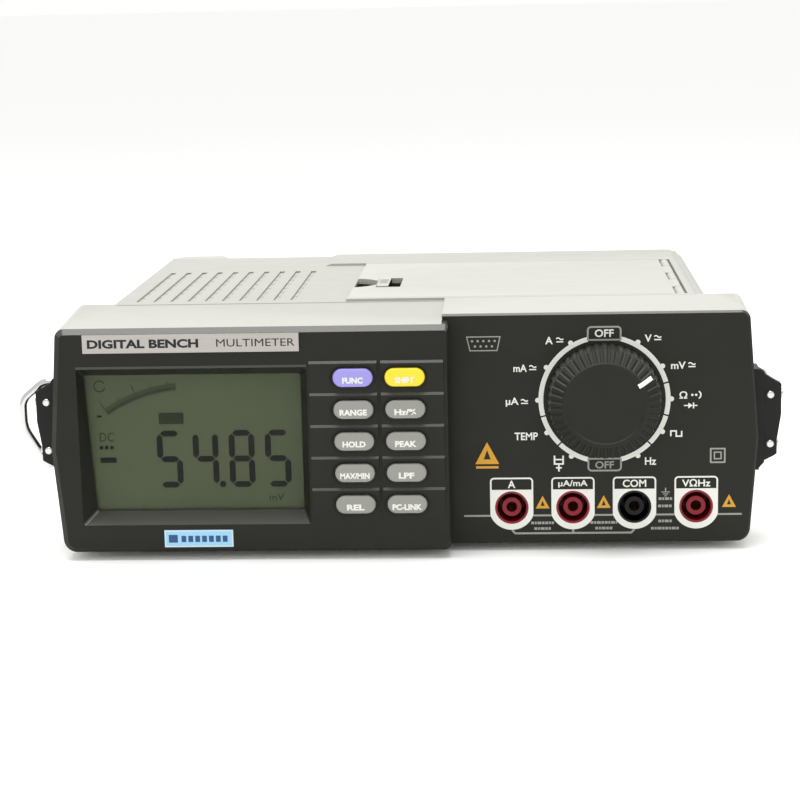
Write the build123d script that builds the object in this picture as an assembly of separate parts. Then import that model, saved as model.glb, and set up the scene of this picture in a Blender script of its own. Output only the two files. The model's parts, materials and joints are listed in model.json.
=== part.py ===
from build123d import *
from math import atan2, cos, degrees, hypot, radians, sin
import os

# Bench multimeter, in millimetres. +X is the operator's right, +Y points to the rear, +Z is up.
# Origin: on the bench, in the middle of the case's width, level with the control section's front face.

# Overall sizes
DISPLAY_SECTION_W = 149.5   # front section with the display and the keys
CONTROL_SECTION_W = 114.5   # front section with the range knob and the jacks
CASE_DEPTH = 175.0          # control section's face to the case's rear edge
BODY_H = 88.6               # underside to the top of the body, without feet
FOOT_H = 3.0                # rubber foot
RIDGE_UP = 39.5             # parting line above the underside
WALL = 2.5                  # case wall
FIT = 0.15                  # gap between mating mouldings
HALF_W = (DISPLAY_SECTION_W + CONTROL_SECTION_W) / 2
Z_BASE = FOOT_H
Z_RIDGE = Z_BASE + RIDGE_UP
Z_TOP = Z_BASE + BODY_H
SPLIT_X = HALF_W - CONTROL_SECTION_W

# Collar: the wide front part of the case, with sides that lean in above and below the ridge
COLLAR_BACK = 31.0
DRAFT_BOTTOM = 3.2
DRAFT_TOP = 3.5
COLLAR_R_BOTTOM = 5.0
COLLAR_R_TOP = 3.5
LEFT_DROP = 3.2             # fall of the collar's top towards the display section's front
RIGHT_DROP = 1.9            # the same on the control section
PLATEAU = 1.0               # how far the right part of the top stands up

# Body behind the collar
BODY_STEP = 13.0            # each side of the body is this much inside the collar
BODY_DRAFT = 2.0
BODY_R_TOP = 6.0
BODY_R_BOTTOM = 4.0
REAR_TAPER = 4.0
PLATEAU_X = -38.0
PLATEAU_RAMP = 6.0

# Front panel
DISPLAY_Y = -11.0           # display section's face, in front of the control section's
BEVEL_LEFT = 2.0
BEVEL_RIGHT = 0.8
PANEL_T = 2.5
LIP_T = 2.0
LIP_L = 6.0
JOG_WALL = 2.5
CORNER_R = 3.0

# Display
WINDOW_LEFT_MARGIN = 11.0   # case side to the recess's outer edge
KEY_ZONE_W = 52.5           # section split back to the recess's outer edge
RECESS_DEPTH = 6.0
RECESS_Z0 = 10.8            # recess's outer edges above the underside
RECESS_Z1 = 70.4
BEVEL_SILL = 4.2            # slope of the recess below, above and beside the window
BEVEL_HEAD = 3.3
BEVEL_SIDE = 2.9
BEVEL_LEFT_TOP = 1.5
BEVEL_LEFT_BOTTOM = 4.5
WELL_WALL = 2.2
BROW_H = 0.85                # low ridge above the recess
BROW_PROUD = 0.45
LENS_T = 1.5
LENS_LAP = 1.6
LCD_T = 2.8
BACKLIGHT_T = 4.0
PCB_T = 1.6
DISPLAY_POST_R = 2.2
DISPLAY_POST_LOW = 9.2      # lower posts above the underside
DISPLAY_POST_HIGH = 8.2     # upper posts below the top
POST_FROM_RECESS = 5.5
LCD_LAP = 1.0               # liquid crystal panel beyond the window's opening
LCD_FRAME_LAP = 2.6
BOARD_SCREW_R = 1.0
BOARD_SCREW_L = 6.0
BOARD_HEAD_R = 2.0

# Keys
KEY_W = 14.8
KEY_H = 6.8
KEY_COLS = (35.4, 16.2)     # distances from the section split to the columns
KEY_PITCH = 12.0
KEY_ROWS = 5
KEY_TOP_Z = 66.3            # top row's centre above the underside
KEY_TRAVEL = 1.0
KEY_PROUD = 1.8
KEY_GAP = 0.3
KEY_FLANGE = 1.1
KEY_FLANGE_T = 1.2
STEM_R = 2.0
SHINGLE = 0.8               # step at the top edge of each key row
SHINGLE_RISE = 6.2
SHINGLE_EDGE = 0.9          # sloping edge at the top of each key row
GROOVE_W = 1.4
GUIDE_T = 1.5
GUIDE_GAP = 3.0
GUIDE_POST_R = 1.8
KEY_DISH = 1.2              # flat round each key, in the stepped rows
KEY_RIM_R = 0.9
TACT_SIDE = 6.0
TACT_H = 3.5
PLUNGER_R = 1.75
PLUNGER_H = 1.1

# Range knob and rotary switch
KNOB_FROM_RIGHT = 57.1
KNOB_Z = 54.8
KNOB_GAP = 0.5
KNOB_R_BASE = 21.3
KNOB_R = 20.5
KNOB_R_FACE = 15.5
KNOB_SIDE_H = 8.5
KNOB_H = 11.7
KNOB_FLUTES = 44
FLUTE_R = 0.8
FLUTE_DEPTH = 0.45
FLUTE_RUN_OUT = 1.5         # length of a flute past the bevel's lower edge
FLUTE_STOP = 0.7            # flutes end this far from the face
KNOB_DISH = 0.3             # fall of the knob's face inside its rim
KNOB_RIM = 0.8
KNOB_CAVITY_R = 17.0
HUB_R = 7.0
SHAFT_R = 4.0
SHAFT_GAP = 0.08
SHAFT_BACK = 24.0
POINTER_ANGLE = 30.0
POINTER_R0 = 13.9
POINTER_R1 = 19.6
POINTER_W = 1.7
POINTER_DEPTH = 3.0
DETENT_R_OUT = 20.0
DETENT_R_IN = 17.0
DETENT_T = 5.0
DETENTS = 12
NOTCH_R = 1.2
ROTOR_R = 15.0
ROTOR_T = 3.0
WIPER_W = 2.4
WIPER_R0 = 6.5
WIPER_R1 = 14.0
SWITCH_BOARD_Y = 20.0

# Safety jacks for 4 mm plugs
JACK_PITCH = 23.0
JACKS_FROM_RIGHT = (92.0, 69.0, 46.0, 23.0)
COM_INDEX = 2
JACK_Z = 13.7
JACK_SHELL_R = 6.2
JACK_SHELL_T = 0.7
JACK_DEPTH = 18.0
JACK_FLANGE_R = 8.0
JACK_FLANGE_T = 1.5
JACK_FLOOR = 16.0
POST_R = 3.6
POST_RECESS = 1.3
CONTACT_R_OUT = 2.8
CONTACT_R = 2.0
CONTACT_RECESS = 2.3
TAIL_R = 1.5

# Main board parts
CORE_X0 = -98.0
CORE_W = 46.0
CORE_Y0 = 96.0
CORE_T = 26.0
CORE_H = 40.0
CORE_LEG = 8.0
CORE_WINDOW_W = 9.0
WINDING_OUT = 7.0
WINDING_GAP = 0.1
CAPACITOR_R = 8.0
CAPACITOR_H = 25.0
CAPACITOR_PLACES = ((-30.0, 100.0), (-30.0, 120.0), (0.0, 110.0))
FUSE_R = 3.0
FUSE_L = 32.0
FUSE_X0 = 30.0
FUSE_Y = (56.0, 70.0)
CLIP_L = 6.0
CLIP_W = 8.0
CLIP_AXIS = 6.0             # fuse's axis above the board
CLIP_H = 7.5

# Labels on the display section's face
LABEL_T = 0.4
STRIP_IN = 3.0              # strip's left end from the recess's outer edge
STRIP_RIGHT_IN = 2.5
STRIP_H = 6.9
STICKER_T = 0.25
STICKER_X = 30.6            # sticker's left end from the recess's outer edge
STICKER_W = 26.0
STICKER_H = 6.6

# Rear
REAR_PANEL_T = 2.5
REAR_PANEL_IN = 2.5
STOP_T = 2.0
STOP_H = 2.5
INLET_X = -64.0
INLET_Z = 30.0
INLET_W = 24.2
INLET_H = 16.6
INLET_WALL = 1.5
INLET_FLANGE = 3.0
INLET_DEPTH = 16.0
INLET_PIN_L = 11.0
INLET_PIN_W = 2.0
INLET_PIN_H = 4.0
INLET_PIN_PITCH = 7.0
SERIAL_X = 60.0
SERIAL_Z = 30.0
SERIAL_W = 17.0
SERIAL_H = 8.6
SERIAL_T = 0.6
SERIAL_OUT = 6.0
SERIAL_FLANGE_W = 31.0
SERIAL_FLANGE_H = 12.5
BUMPER_W = 26.0
BUMPER_D = 9.0
BUMPER_SLOPE = 4.0

# Battery hatch
HATCH_X0 = -22.7
HATCH_W = 126.2
HATCH_Y0 = 33.0
HATCH_L = 103.0
HATCH_T = 2.2
HATCH_GAP = 0.3
LEDGE = 2.7
HINGE_OUT = 2.5             # hinge axis beyond the lid's edge
HINGE_DOWN = 1.9            # hinge axis below the lid's top
KNUCKLE_R = 1.9
KNUCKLES = 5
HATCH_PIN_R = 0.9
PIN_GAP = 0.05
KNUCKLE_GAP = 0.3
CHANNEL_W = 2.2             # hinge channel beyond the axis
CHANNEL_DEPTH = 4.2
THUMB_Y = 75.0
THUMB_R = 12.6
THUMB_W = 8.7
LATCH_W = 4.7
LATCH_SLOT_X = 8.9          # lid's edge to the latch's slot
LATCH_SLOT_W = 9.8
LATCH_SLOT_L = 26.0
LATCH_GAP = 0.3
LATCH_T = 1.0
LATCH_TRAVEL = 3.0
TRAY_WALL = 1.6
TRAY_Z = 58.0
CELL_R = 13.1
CELL_L = 50.0
CELL_PITCH = 30.0
CELL_NOSE_R = 3.2
CELL_NOSE_L = 1.5
CELL_SPACE = 0.5            # half of the gap between the cells of a pair
RIB_T = 1.4
RIB_H = 14.0
PLATE_T = 0.5
PLATE_HALF_W = 9.0
PLATE_Z = (3.0, 22.0)       # end contacts above the tray's floor

# Vents in the top
VENTS = 10
VENT_X0 = -104.9
VENT_PITCH = 6.73
VENT_W = 2.2
VENT_Y0 = 36.0
VENT_Y1 = 122.0

# Vents in the rear panel and in the floor
REAR_VENTS = 8
REAR_VENT_X0 = -18.5
REAR_VENT_PITCH = 6.0
REAR_VENT_Z = (50.0, 74.0)
FLOOR_VENTS = 12
FLOOR_VENT_X0 = -58.5
FLOOR_VENT_PITCH = 8.0
FLOOR_VENT_Y = (70.0, 120.0)
VENT_GAP = 3.0

# Ring lugs on the collar's sides
LUG_Y0 = 9.0
LUG_PLATE_T = 4.2           # front plate, in front of the ring's bar
LUG_Y1 = 18.4
LUG_Z = 44.7
LUG_HALF_H = 19.3
LUG_BLOCK_HALF = 13.0
LUG_EYE_R = 3.2
LUG_PAD_OUT = 1.2
LUG_CAP_Z = (-14.4, 14.4)   # cap's ends from the ring's middle
LUG_CAP_OUT = 9.3           # cap's reach beyond the case at its top
LUG_CAP_LOW_OUT = 7.8       # the same at its lower screw
RING_Z = 45.0
RING_AXIS_OUT = 3.2
RING_AXIS_Y = 15.0
RING_WIRE_R = 1.5
RING_HALF = 16.1            # bar's half-length, between the wire's centre lines
RING_REACH = 12.5
RING_GAP = 0.1
LUG_SCREW_Z = (-9.5, 9.3)   # screws from the ring's middle
LUG_SCREW_Y = 11.3
LUG_SCREW_R = 1.0
LUG_PIN_R = 0.8
LUG_PIN_OUT = 5.2
LUG_PIN_L = 1.2
LUG_HEAD_R = 1.5
LUG_HEAD_T = 0.9

# Inside
BOARD_X = 100.0
BOARD_Y0 = 40.0
BOARD_Y1 = 164.0
BOARD_Z = 12.0
BOARD_POST_R = 3.0
BOARD_POST_IN = 6.0         # posts from the board's sides
BOARD_POST_END = 16.0       # posts from the board's ends
CASE_SCREW_X = 108.0
CASE_SCREW_Y = (46.0, 158.0)
BOSS_R = 4.6
CASE_SCREW_R = 1.5
CASE_HEAD_R = 2.8
CASE_HEAD_T = 2.5
COUNTERBORE = 7.0
CASE_SCREW_TOP = 62.0
FOOT_R = 7.0
FOOT_X = 96.0
FOOT_Y = (40.0, 150.0)
TOP_BOSS_TOP = 86.0

KNOB_X = HALF_W - KNOB_FROM_RIGHT
KNOB_CZ = Z_BASE + KNOB_Z
JACK_XS = [HALF_W - distance for distance in JACKS_FROM_RIGHT]
JACK_CZ = Z_BASE + JACK_Z
BODY_HALF = HALF_W - BODY_STEP
LEFT_EDGE_Y = DISPLAY_Y + BEVEL_LEFT
JOG_X = SPLIT_X - JOG_WALL
LEFT_TOP = Z_TOP - LEFT_DROP
Z_PLATEAU = Z_TOP + PLATEAU
RIGHT_TOP = Z_PLATEAU - RIGHT_DROP
CEILING = Z_TOP - WALL
WINDOW_Y = DISPLAY_Y + RECESS_DEPTH
DISPLAY_BOARD_Y = WINDOW_Y + LENS_T + LCD_T + BACKLIGHT_T + 3 * 0.1
KEY_XS = [SPLIT_X - distance for distance in KEY_COLS]
KEY_ZS = [Z_BASE + KEY_TOP_Z - KEY_PITCH * row for row in range(KEY_ROWS)]
REAR_PANEL_Y = CASE_DEPTH - REAR_PANEL_IN - REAR_PANEL_T
RECESS_X0 = -HALF_W + WINDOW_LEFT_MARGIN
RECESS_X1 = SPLIT_X - KEY_ZONE_W


def box(x0, x1, y0, y1, z0, z1):
    """Box between two corners."""
    centre = ((x0 + x1) / 2, (y0 + y1) / 2, (z0 + z1) / 2)
    return Pos(*centre) * Box(x1 - x0, y1 - y0, z1 - z0)


def cyl_x(y, z, radius, x0, x1):
    """Cylinder along X."""
    return Pos((x0 + x1) / 2, y, z) * Rot(0, 90, 0) * Cylinder(radius, x1 - x0)


def cyl_y(x, z, radius, y0, y1):
    """Cylinder along Y."""
    return Pos(x, (y0 + y1) / 2, z) * Rot(90, 0, 0) * Cylinder(radius, y1 - y0)


def cyl_z(x, y, radius, z0, z1):
    """Cylinder along Z."""
    return Pos(x, y, (z0 + z1) / 2) * Cylinder(radius, z1 - z0)


def rounded(points, radii):
    """Polygon with its own radius at each corner."""
    return make_face(FilletPolyline(*points, radius=radii, close=True))


def at_y(sketch, y):
    """Sketch drawn in X and Z, placed at one depth."""
    return Plane.XZ.offset(-y) * sketch


def prism_y(sketch, y0, y1):
    """Sketch drawn in X and Z, run from one depth to another."""
    return extrude(at_y(sketch, y1), amount=y1 - y0, dir=(0, -1, 0))


def prism_x(sketch, x0, x1):
    """Sketch drawn in Y and Z, run from one side to another."""
    return extrude(Plane.YZ.offset(x0) * sketch, amount=x1 - x0, dir=(1, 0, 0))


def loft_y(front, y_front, back, y_back):
    """Straight-sided loft between two sketches drawn in X and Z."""
    return loft([at_y(front, y_front), at_y(back, y_back)], ruled=True)


def pill(x, z, width, height):
    """Key outline."""
    return Pos(x, z) * SlotOverall(width, height)


def add(solid, extras):
    """Fuse a list of solids to one."""
    for extra in extras:
        solid = solid + extra
    return solid


def cut(solid, tools):
    """Cut a list of solids from one."""
    for tool in tools:
        solid = solid - tool
    return solid


def half_section(side, x_in, z_top, inset=0.0, r_in=(0.0, 0.0)):
    """One side of the collar's outline, from x_in outwards."""
    bottom = side * (HALF_W - DRAFT_BOTTOM - inset)
    ridge = side * (HALF_W - inset)
    top = side * (HALF_W - DRAFT_TOP - inset)
    z0, z1 = Z_BASE + inset, z_top - inset
    points = [(x_in, z0), (x_in, z1), (top, z1), (ridge, Z_RIDGE), (bottom, z0)]
    radii = [r_in[0], r_in[1], max(COLLAR_R_TOP - inset, 0.5), 0, max(COLLAR_R_BOTTOM - inset, 0.5)]
    return rounded(points, radii)


def body_section(inset=0.0):
    """Outline of the body behind the collar."""
    bottom = BODY_HALF - BODY_DRAFT - inset
    ridge = BODY_HALF - inset
    z0, z1 = Z_BASE + inset, Z_TOP - inset
    r_top = max(BODY_R_TOP - inset, 0.5)
    r_bottom = max(BODY_R_BOTTOM - inset, 0.5)
    points = [(-bottom, z0), (-ridge, Z_RIDGE), (-bottom, z1), (bottom, z1), (ridge, Z_RIDGE), (bottom, z0)]
    return rounded(points, [r_bottom, 0, r_top, r_top, 0, r_bottom])


def slope_top(y, y_front, z_front, z_back):
    """Height of the collar's sloping top at one depth."""
    return z_front + (z_back - z_front) * (y - y_front) / (COLLAR_BACK - y_front)


def collar_block(side, y_front, z_front, z_back, y0, y1, inset=0.0):
    """Solid of one side of the collar between two depths."""
    z0 = slope_top(y0, y_front, z_front, z_back)
    z1 = slope_top(y1, y_front, z_front, z_back)
    return loft_y(half_section(side, JOG_X, z0, inset), y0, half_section(side, JOG_X, z1, inset), y1)


def collar_pair(y_start, y_end, inset=0.0):
    """Both sides of the collar; y_start is how far in front of its edges they begin."""
    left = collar_block(-1, LEFT_EDGE_Y, LEFT_TOP, Z_TOP, LEFT_EDGE_Y - y_start, y_end, inset)
    right = collar_block(1, BEVEL_RIGHT, RIGHT_TOP, Z_PLATEAU, BEVEL_RIGHT - y_start, y_end, inset)
    return left, right


def plateau():
    """Raised right part of the top, with a ramp on its left behind the hatch."""
    right = BODY_HALF - BODY_DRAFT - BODY_R_TOP
    low, high = Z_TOP - 1.0, Z_PLATEAU
    y_end = CASE_DEPTH - REAR_TAPER
    behind = rounded([(PLATEAU_X - PLATEAU_RAMP, low), (PLATEAU_X, high), (right, high),
                      (right + 2 * PLATEAU, low)], [0, 0, 0, 0])
    beside = rounded([(HATCH_X0 - HATCH_GAP, low), (HATCH_X0 - HATCH_GAP, high), (right, high),
                      (right + 2 * PLATEAU, low)], [0, 0, 0, 0])
    hatch_end = HATCH_Y0 + HATCH_L
    return prism_y(behind, hatch_end + 2.0, y_end) + prism_y(beside, COLLAR_BACK - 1.0, hatch_end + 2.0)


def case_outer():
    """Whole outer shape of the case, without its front panel."""
    y_taper = CASE_DEPTH - REAR_TAPER
    body = prism_y(body_section(), COLLAR_BACK - WALL, y_taper)
    tail = loft_y(body_section(), y_taper, body_section(REAR_TAPER / 2), CASE_DEPTH)
    left, right = collar_pair(0.0, COLLAR_BACK)
    return body + tail + left + right + plateau()


def case_shell():
    """Case walls, open at the front and the rear, with ribs that hold the rear panel."""
    left, right = collar_pair(1.0, COLLAR_BACK - WALL, WALL)
    hollow = prism_y(body_section(WALL), 2.0, REAR_PANEL_Y + REAR_PANEL_T)
    mouth = prism_y(body_section(WALL + STOP_H), REAR_PANEL_Y, CASE_DEPTH + 1.0)
    shell = cut(case_outer(), [left, right, hollow, mouth])
    stop = prism_y(body_section(WALL), REAR_PANEL_Y - STOP_T, REAR_PANEL_Y)
    stop = stop - prism_y(body_section(WALL + STOP_H), REAR_PANEL_Y - STOP_T - 1, REAR_PANEL_Y + 1)
    return shell + stop


HINGE_X = HATCH_X0 + HATCH_W + HINGE_OUT
HINGE_Z = Z_PLATEAU - HINGE_DOWN
HATCH_X1 = HATCH_X0 + HATCH_W
HATCH_Y1 = HATCH_Y0 + HATCH_L
TRAY_X0 = HATCH_X0 + LEDGE
TRAY_X1 = HATCH_X1 - LEDGE
TRAY_Y0 = HATCH_Y0 + LEDGE
TRAY_Y1 = HATCH_Y1 - LEDGE
LATCH_SLOT_X0 = HATCH_X0 + LATCH_SLOT_X


def knuckle_spans():
    """Lengths along Y of the hinge's knuckles, shared between the cover and the lid."""
    pitch = HATCH_L / KNUCKLES
    return [(HATCH_Y0 + pitch * i, HATCH_Y0 + pitch * (i + 1)) for i in range(KNUCKLES)]


def vent_starts(first, pitch, count, width):
    """Left edges of a row of slots, from the first slot's middle."""
    return [first + pitch * i - width / 2 for i in range(count)]


def case_screw_places():
    return [(side * CASE_SCREW_X, y) for side in (-1, 1) for y in CASE_SCREW_Y]


def top_cover(shell):
    """Upper case half: vents, hatch opening with its ledge, hinge channel and screw bosses."""
    cover = shell & box(-HALF_W - 1, HALF_W + 1, LEFT_EDGE_Y - 1, CASE_DEPTH + 1, Z_RIDGE, Z_PLATEAU + 1)
    strip = box(TRAY_X1 + TRAY_WALL + 0.05, HINGE_X + CHANNEL_W + 2.0, HATCH_Y0 - 2.0, HATCH_Y1 + 2.0,
                HINGE_Z - CHANNEL_DEPTH + 0.3, Z_TOP)
    bosses = [cyl_z(x, y, BOSS_R, Z_RIDGE, TOP_BOSS_TOP + 3) for x, y in case_screw_places()]
    inside = prism_y(body_section(WALL / 2), COLLAR_BACK - WALL, REAR_PANEL_Y - STOP_T)
    cover = cover + (add(strip, bosses) & inside)
    rebate = box(HATCH_X0 - HATCH_GAP, HATCH_X1 + HATCH_GAP, HATCH_Y0 - HATCH_GAP, HATCH_Y1 + HATCH_GAP,
                 Z_PLATEAU - HATCH_T, Z_PLATEAU + 1)
    opening = box(TRAY_X0, TRAY_X1, TRAY_Y0, TRAY_Y1, CEILING - 6, Z_PLATEAU + 1)
    channel = box(HATCH_X1 - 0.1, HINGE_X + CHANNEL_W, HATCH_Y0 - HATCH_GAP, HATCH_Y1 + HATCH_GAP,
                  HINGE_Z - CHANNEL_DEPTH / 2, Z_PLATEAU + 1)
    hook_pocket = box(HATCH_X0 - LATCH_TRAVEL - 1.2, TRAY_X0 + 1, THUMB_Y - LATCH_SLOT_L / 2 - 0.5,
                      THUMB_Y + LATCH_SLOT_L / 2 + 0.5, CEILING - 1, Z_PLATEAU - HATCH_T + 0.05)
    cover = cut(cover, [rebate, opening, channel, hook_pocket])
    spans = knuckle_spans()
    for y0, y1 in spans[0::2]:
        start = y0 if y0 > HATCH_Y0 else y0 - HATCH_GAP
        stop = y1 if y1 < HATCH_Y1 - 1 else y1 + HATCH_GAP
        knuckle = cyl_y(HINGE_X, HINGE_Z, KNUCKLE_R, start + KNUCKLE_GAP, stop - KNUCKLE_GAP)
        web = box(HINGE_X, HINGE_X + CHANNEL_W + 0.5, start + KNUCKLE_GAP, stop - KNUCKLE_GAP,
                  HINGE_Z - CHANNEL_DEPTH / 2 - 0.2, HINGE_Z)
        cover = cover + knuckle + web
    cover = cover - cyl_y(HINGE_X, HINGE_Z, HATCH_PIN_R, HATCH_Y0 - 1, HATCH_Y1 + 1)
    slots = [box(x, x + VENT_W, VENT_Y0, VENT_Y1, CEILING - 1, Z_TOP + 1)
             for x in vent_starts(VENT_X0, VENT_PITCH, VENTS, VENT_W)]
    holes = [cyl_z(x, y, CASE_SCREW_R, Z_RIDGE - 1, CASE_SCREW_TOP) for x, y in case_screw_places()]
    return cut(cover, slots + holes)


def bottom_cover(shell):
    """Lower case half: screw bosses with counterbores, board posts and floor vents."""
    cover = shell & box(-HALF_W - 1, HALF_W + 1, LEFT_EDGE_Y - 1, CASE_DEPTH + 1, Z_BASE - 1, Z_RIDGE)
    bosses = [cyl_z(x, y, BOSS_R, Z_BASE + 1, Z_RIDGE) for x, y in case_screw_places()]
    inside = prism_y(body_section(WALL / 2), COLLAR_BACK - WALL, REAR_PANEL_Y - STOP_T)
    cover = cover + (add(bosses[0], bosses[1:]) & inside)
    posts = [cyl_z(x, y, BOARD_POST_R, Z_BASE + 1, BOARD_Z) for x, y in board_post_places()]
    cover = add(cover, posts)
    sockets = [cyl_z(x, y, CASE_HEAD_R + 0.4, Z_BASE - 1, Z_BASE + COUNTERBORE)
               for x, y in case_screw_places()]
    holes = [cyl_z(x, y, CASE_SCREW_R + 0.2, Z_BASE - 1, Z_RIDGE + 1) for x, y in case_screw_places()]
    vents = [box(x, x + VENT_GAP, *FLOOR_VENT_Y, Z_BASE - 1, Z_BASE + WALL + 1)
             for x in vent_starts(FLOOR_VENT_X0, FLOOR_VENT_PITCH, FLOOR_VENTS, VENT_GAP)]
    return cut(cover, sockets + holes + vents)


def board_post_places():
    rows = (BOARD_Y0 + BOARD_POST_END, BOARD_Y1 - BOARD_POST_END)
    return [(side * (BOARD_X - BOARD_POST_IN), y) for side in (-1, 1) for y in rows]


def recess_outlines():
    """Outer and inner outlines of the display recess."""
    z0, z1 = Z_BASE + RECESS_Z0, Z_BASE + RECESS_Z1
    outer = rounded([(RECESS_X0, z0), (RECESS_X1, z0), (RECESS_X1, z1), (RECESS_X0, z1)], [1, 1, 1, 1])
    right, low, high = RECESS_X1 - BEVEL_SIDE, z0 + BEVEL_SILL, z1 - BEVEL_HEAD
    inner = rounded([(RECESS_X0 + BEVEL_LEFT_BOTTOM, low), (right, low), (right, high),
                     (RECESS_X0 + BEVEL_LEFT_TOP, high)], [1, 1, 1, 1])
    return outer, inner


def display_post_places():
    low, high = Z_BASE + DISPLAY_POST_LOW, LEFT_TOP - DISPLAY_POST_HIGH
    right = JOG_X - 3.0
    return [(RECESS_X0 + 3.0, high), (right, high), (RECESS_X1 + POST_FROM_RECESS, low), (right, low)]


def guide_post_places():
    rows = [(KEY_ZS[0] + KEY_ZS[1]) / 2, (KEY_ZS[3] + KEY_ZS[4]) / 2]
    return [(x, z) for x in (RECESS_X1 + POST_FROM_RECESS, JOG_X - 2.6) for z in rows]


def shingles():
    """Stepped rows that the keys sit in, with a groove between the columns."""
    middle = sum(KEY_XS) / 2
    spans = [(RECESS_X1 + 0.9, middle - GROOVE_W / 2), (middle + GROOVE_W / 2, SPLIT_X - 2.0)]
    rows = []
    for z in KEY_ZS:
        top = z + SHINGLE_RISE
        low = top - KEY_PITCH + 0.1
        back = DISPLAY_Y + 0.2
        profile = Polyline((back, low), (DISPLAY_Y - 0.05, low), (DISPLAY_Y - SHINGLE, top - SHINGLE_EDGE),
                           (DISPLAY_Y - 0.02, top), (back, top), close=True)
        rows += [prism_x(make_face(profile), x0, x1) for x0, x1 in spans]
    return rows


def brow():
    """Low ridge along the top edge of the display recess."""
    low = Z_BASE + RECESS_Z1 + 0.05
    back = DISPLAY_Y + 0.2
    profile = Polyline((back, low), (DISPLAY_Y - BROW_PROUD, low), (DISPLAY_Y - 0.02, low + BROW_H),
                       (back, low + BROW_H), close=True)
    return prism_x(make_face(profile), RECESS_X0, RECESS_X1)


def front_panel():
    """Dark front moulding in two stepped sections, with its openings, posts and lips."""
    corner = (CORNER_R, 1.5)
    left = loft_y(half_section(-1, SPLIT_X - 0.6, LEFT_TOP, BEVEL_LEFT, (CORNER_R, 1.0)), DISPLAY_Y,
                  half_section(-1, SPLIT_X, LEFT_TOP, 0, corner), LEFT_EDGE_Y)
    right = loft_y(half_section(1, JOG_X, RIGHT_TOP, BEVEL_RIGHT), 0,
                   half_section(1, JOG_X, RIGHT_TOP), BEVEL_RIGHT)
    jog = prism_y(half_section(-1, SPLIT_X, LEFT_TOP, 0, corner), LEFT_EDGE_Y, BEVEL_RIGHT)
    jog = jog & box(JOG_X, SPLIT_X, LEFT_EDGE_Y, BEVEL_RIGHT, Z_BASE, LEFT_TOP)
    inset = WALL + FIT
    lip_left = prism_y(half_section(-1, JOG_X, LEFT_TOP, inset), LEFT_EDGE_Y, LEFT_EDGE_Y + LIP_L)
    lip_right = prism_y(half_section(1, JOG_X, RIGHT_TOP, inset), BEVEL_RIGHT, BEVEL_RIGHT + LIP_L)
    hollow_left = prism_y(half_section(-1, JOG_X, LEFT_TOP, inset + LIP_T), DISPLAY_Y + PANEL_T,
                          BEVEL_RIGHT + LIP_L + 1)
    hollow_right = prism_y(half_section(1, JOG_X, RIGHT_TOP, inset + LIP_T), PANEL_T,
                           BEVEL_RIGHT + LIP_L + 1)
    panel = left + right + jog + lip_left + lip_right
    panel = cut(panel, [hollow_left, hollow_right])
    z0, z1 = Z_BASE + RECESS_Z0, Z_BASE + RECESS_Z1
    well = box(RECESS_X0 - WELL_WALL, RECESS_X1 + WELL_WALL, DISPLAY_Y + 1, WINDOW_Y,
               z0 - WELL_WALL, z1 + WELL_WALL)
    board_posts = [cyl_y(x, z, DISPLAY_POST_R, DISPLAY_Y + 1, DISPLAY_BOARD_Y)
                   for x, z in display_post_places()]
    guide_y = DISPLAY_Y + PANEL_T + GUIDE_GAP
    guide_posts = [cyl_y(x, z, GUIDE_POST_R, DISPLAY_Y + 1, guide_y) for x, z in guide_post_places()]
    panel = add(panel, [well, brow()] + board_posts + guide_posts + shingles())
    outer, inner = recess_outlines()
    recess = loft_y(outer, DISPLAY_Y, inner, WINDOW_Y)
    lead_in = prism_y(outer, DISPLAY_Y - 2, DISPLAY_Y)
    lead_out = prism_y(inner, WINDOW_Y, WINDOW_Y + 1)
    tools = [recess, lead_in, lead_out]
    for x in KEY_XS:
        for z in KEY_ZS:
            opening = pill(x, z, KEY_W + 2 * KEY_GAP, KEY_H + 2 * KEY_GAP)
            flat = pill(x, z, KEY_W + 2 * KEY_DISH, KEY_H + 2 * KEY_DISH)
            tools.append(prism_y(opening, DISPLAY_Y - 2, DISPLAY_Y + PANEL_T + 1))
            tools.append(prism_y(flat, DISPLAY_Y - 2, DISPLAY_Y))
    tools.append(cyl_y(KNOB_X, KNOB_CZ, SHAFT_R + SHAFT_GAP, -1, PANEL_T + 1))
    tools += [cyl_y(x, JACK_CZ, JACK_SHELL_R, -1, PANEL_T + 1) for x in JACK_XS]
    tools += [cyl_y(x, z, BOARD_SCREW_R, DISPLAY_BOARD_Y + PCB_T - BOARD_SCREW_L, DISPLAY_BOARD_Y + 1)
              for x, z in display_post_places()]
    return cut(panel, tools)


def lens_box(lap, y0, y1):
    """Plate behind the display recess."""
    z0 = Z_BASE + RECESS_Z0 + BEVEL_SILL
    z1 = Z_BASE + RECESS_Z1 - BEVEL_HEAD
    return box(RECESS_X0 + BEVEL_LEFT_TOP - lap, RECESS_X1 - BEVEL_SIDE + lap, y0, y1, z0 - lap, z1 + lap)


def display_stack():
    """Window, liquid crystal panel, backlight and the frame round them, one behind the other."""
    y0 = WINDOW_Y + 0.02
    y1 = y0 + LENS_T
    y2 = y1 + 0.1 + LCD_T
    window = lens_box(LENS_LAP, y0, y1)
    lcd = lens_box(LCD_LAP, y1 + 0.1, y2)
    backlight = lens_box(LCD_LAP, y2 + 0.1, DISPLAY_BOARD_Y - 0.02)
    frame = lens_box(LCD_FRAME_LAP, y1 + 0.1, DISPLAY_BOARD_Y - 0.02)
    frame = frame - lens_box(LCD_LAP + 0.05, y1, DISPLAY_BOARD_Y + 1)
    return {"display_window": window, "lcd_glass": lcd, "backlight": backlight, "lcd_frame": frame}


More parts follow.
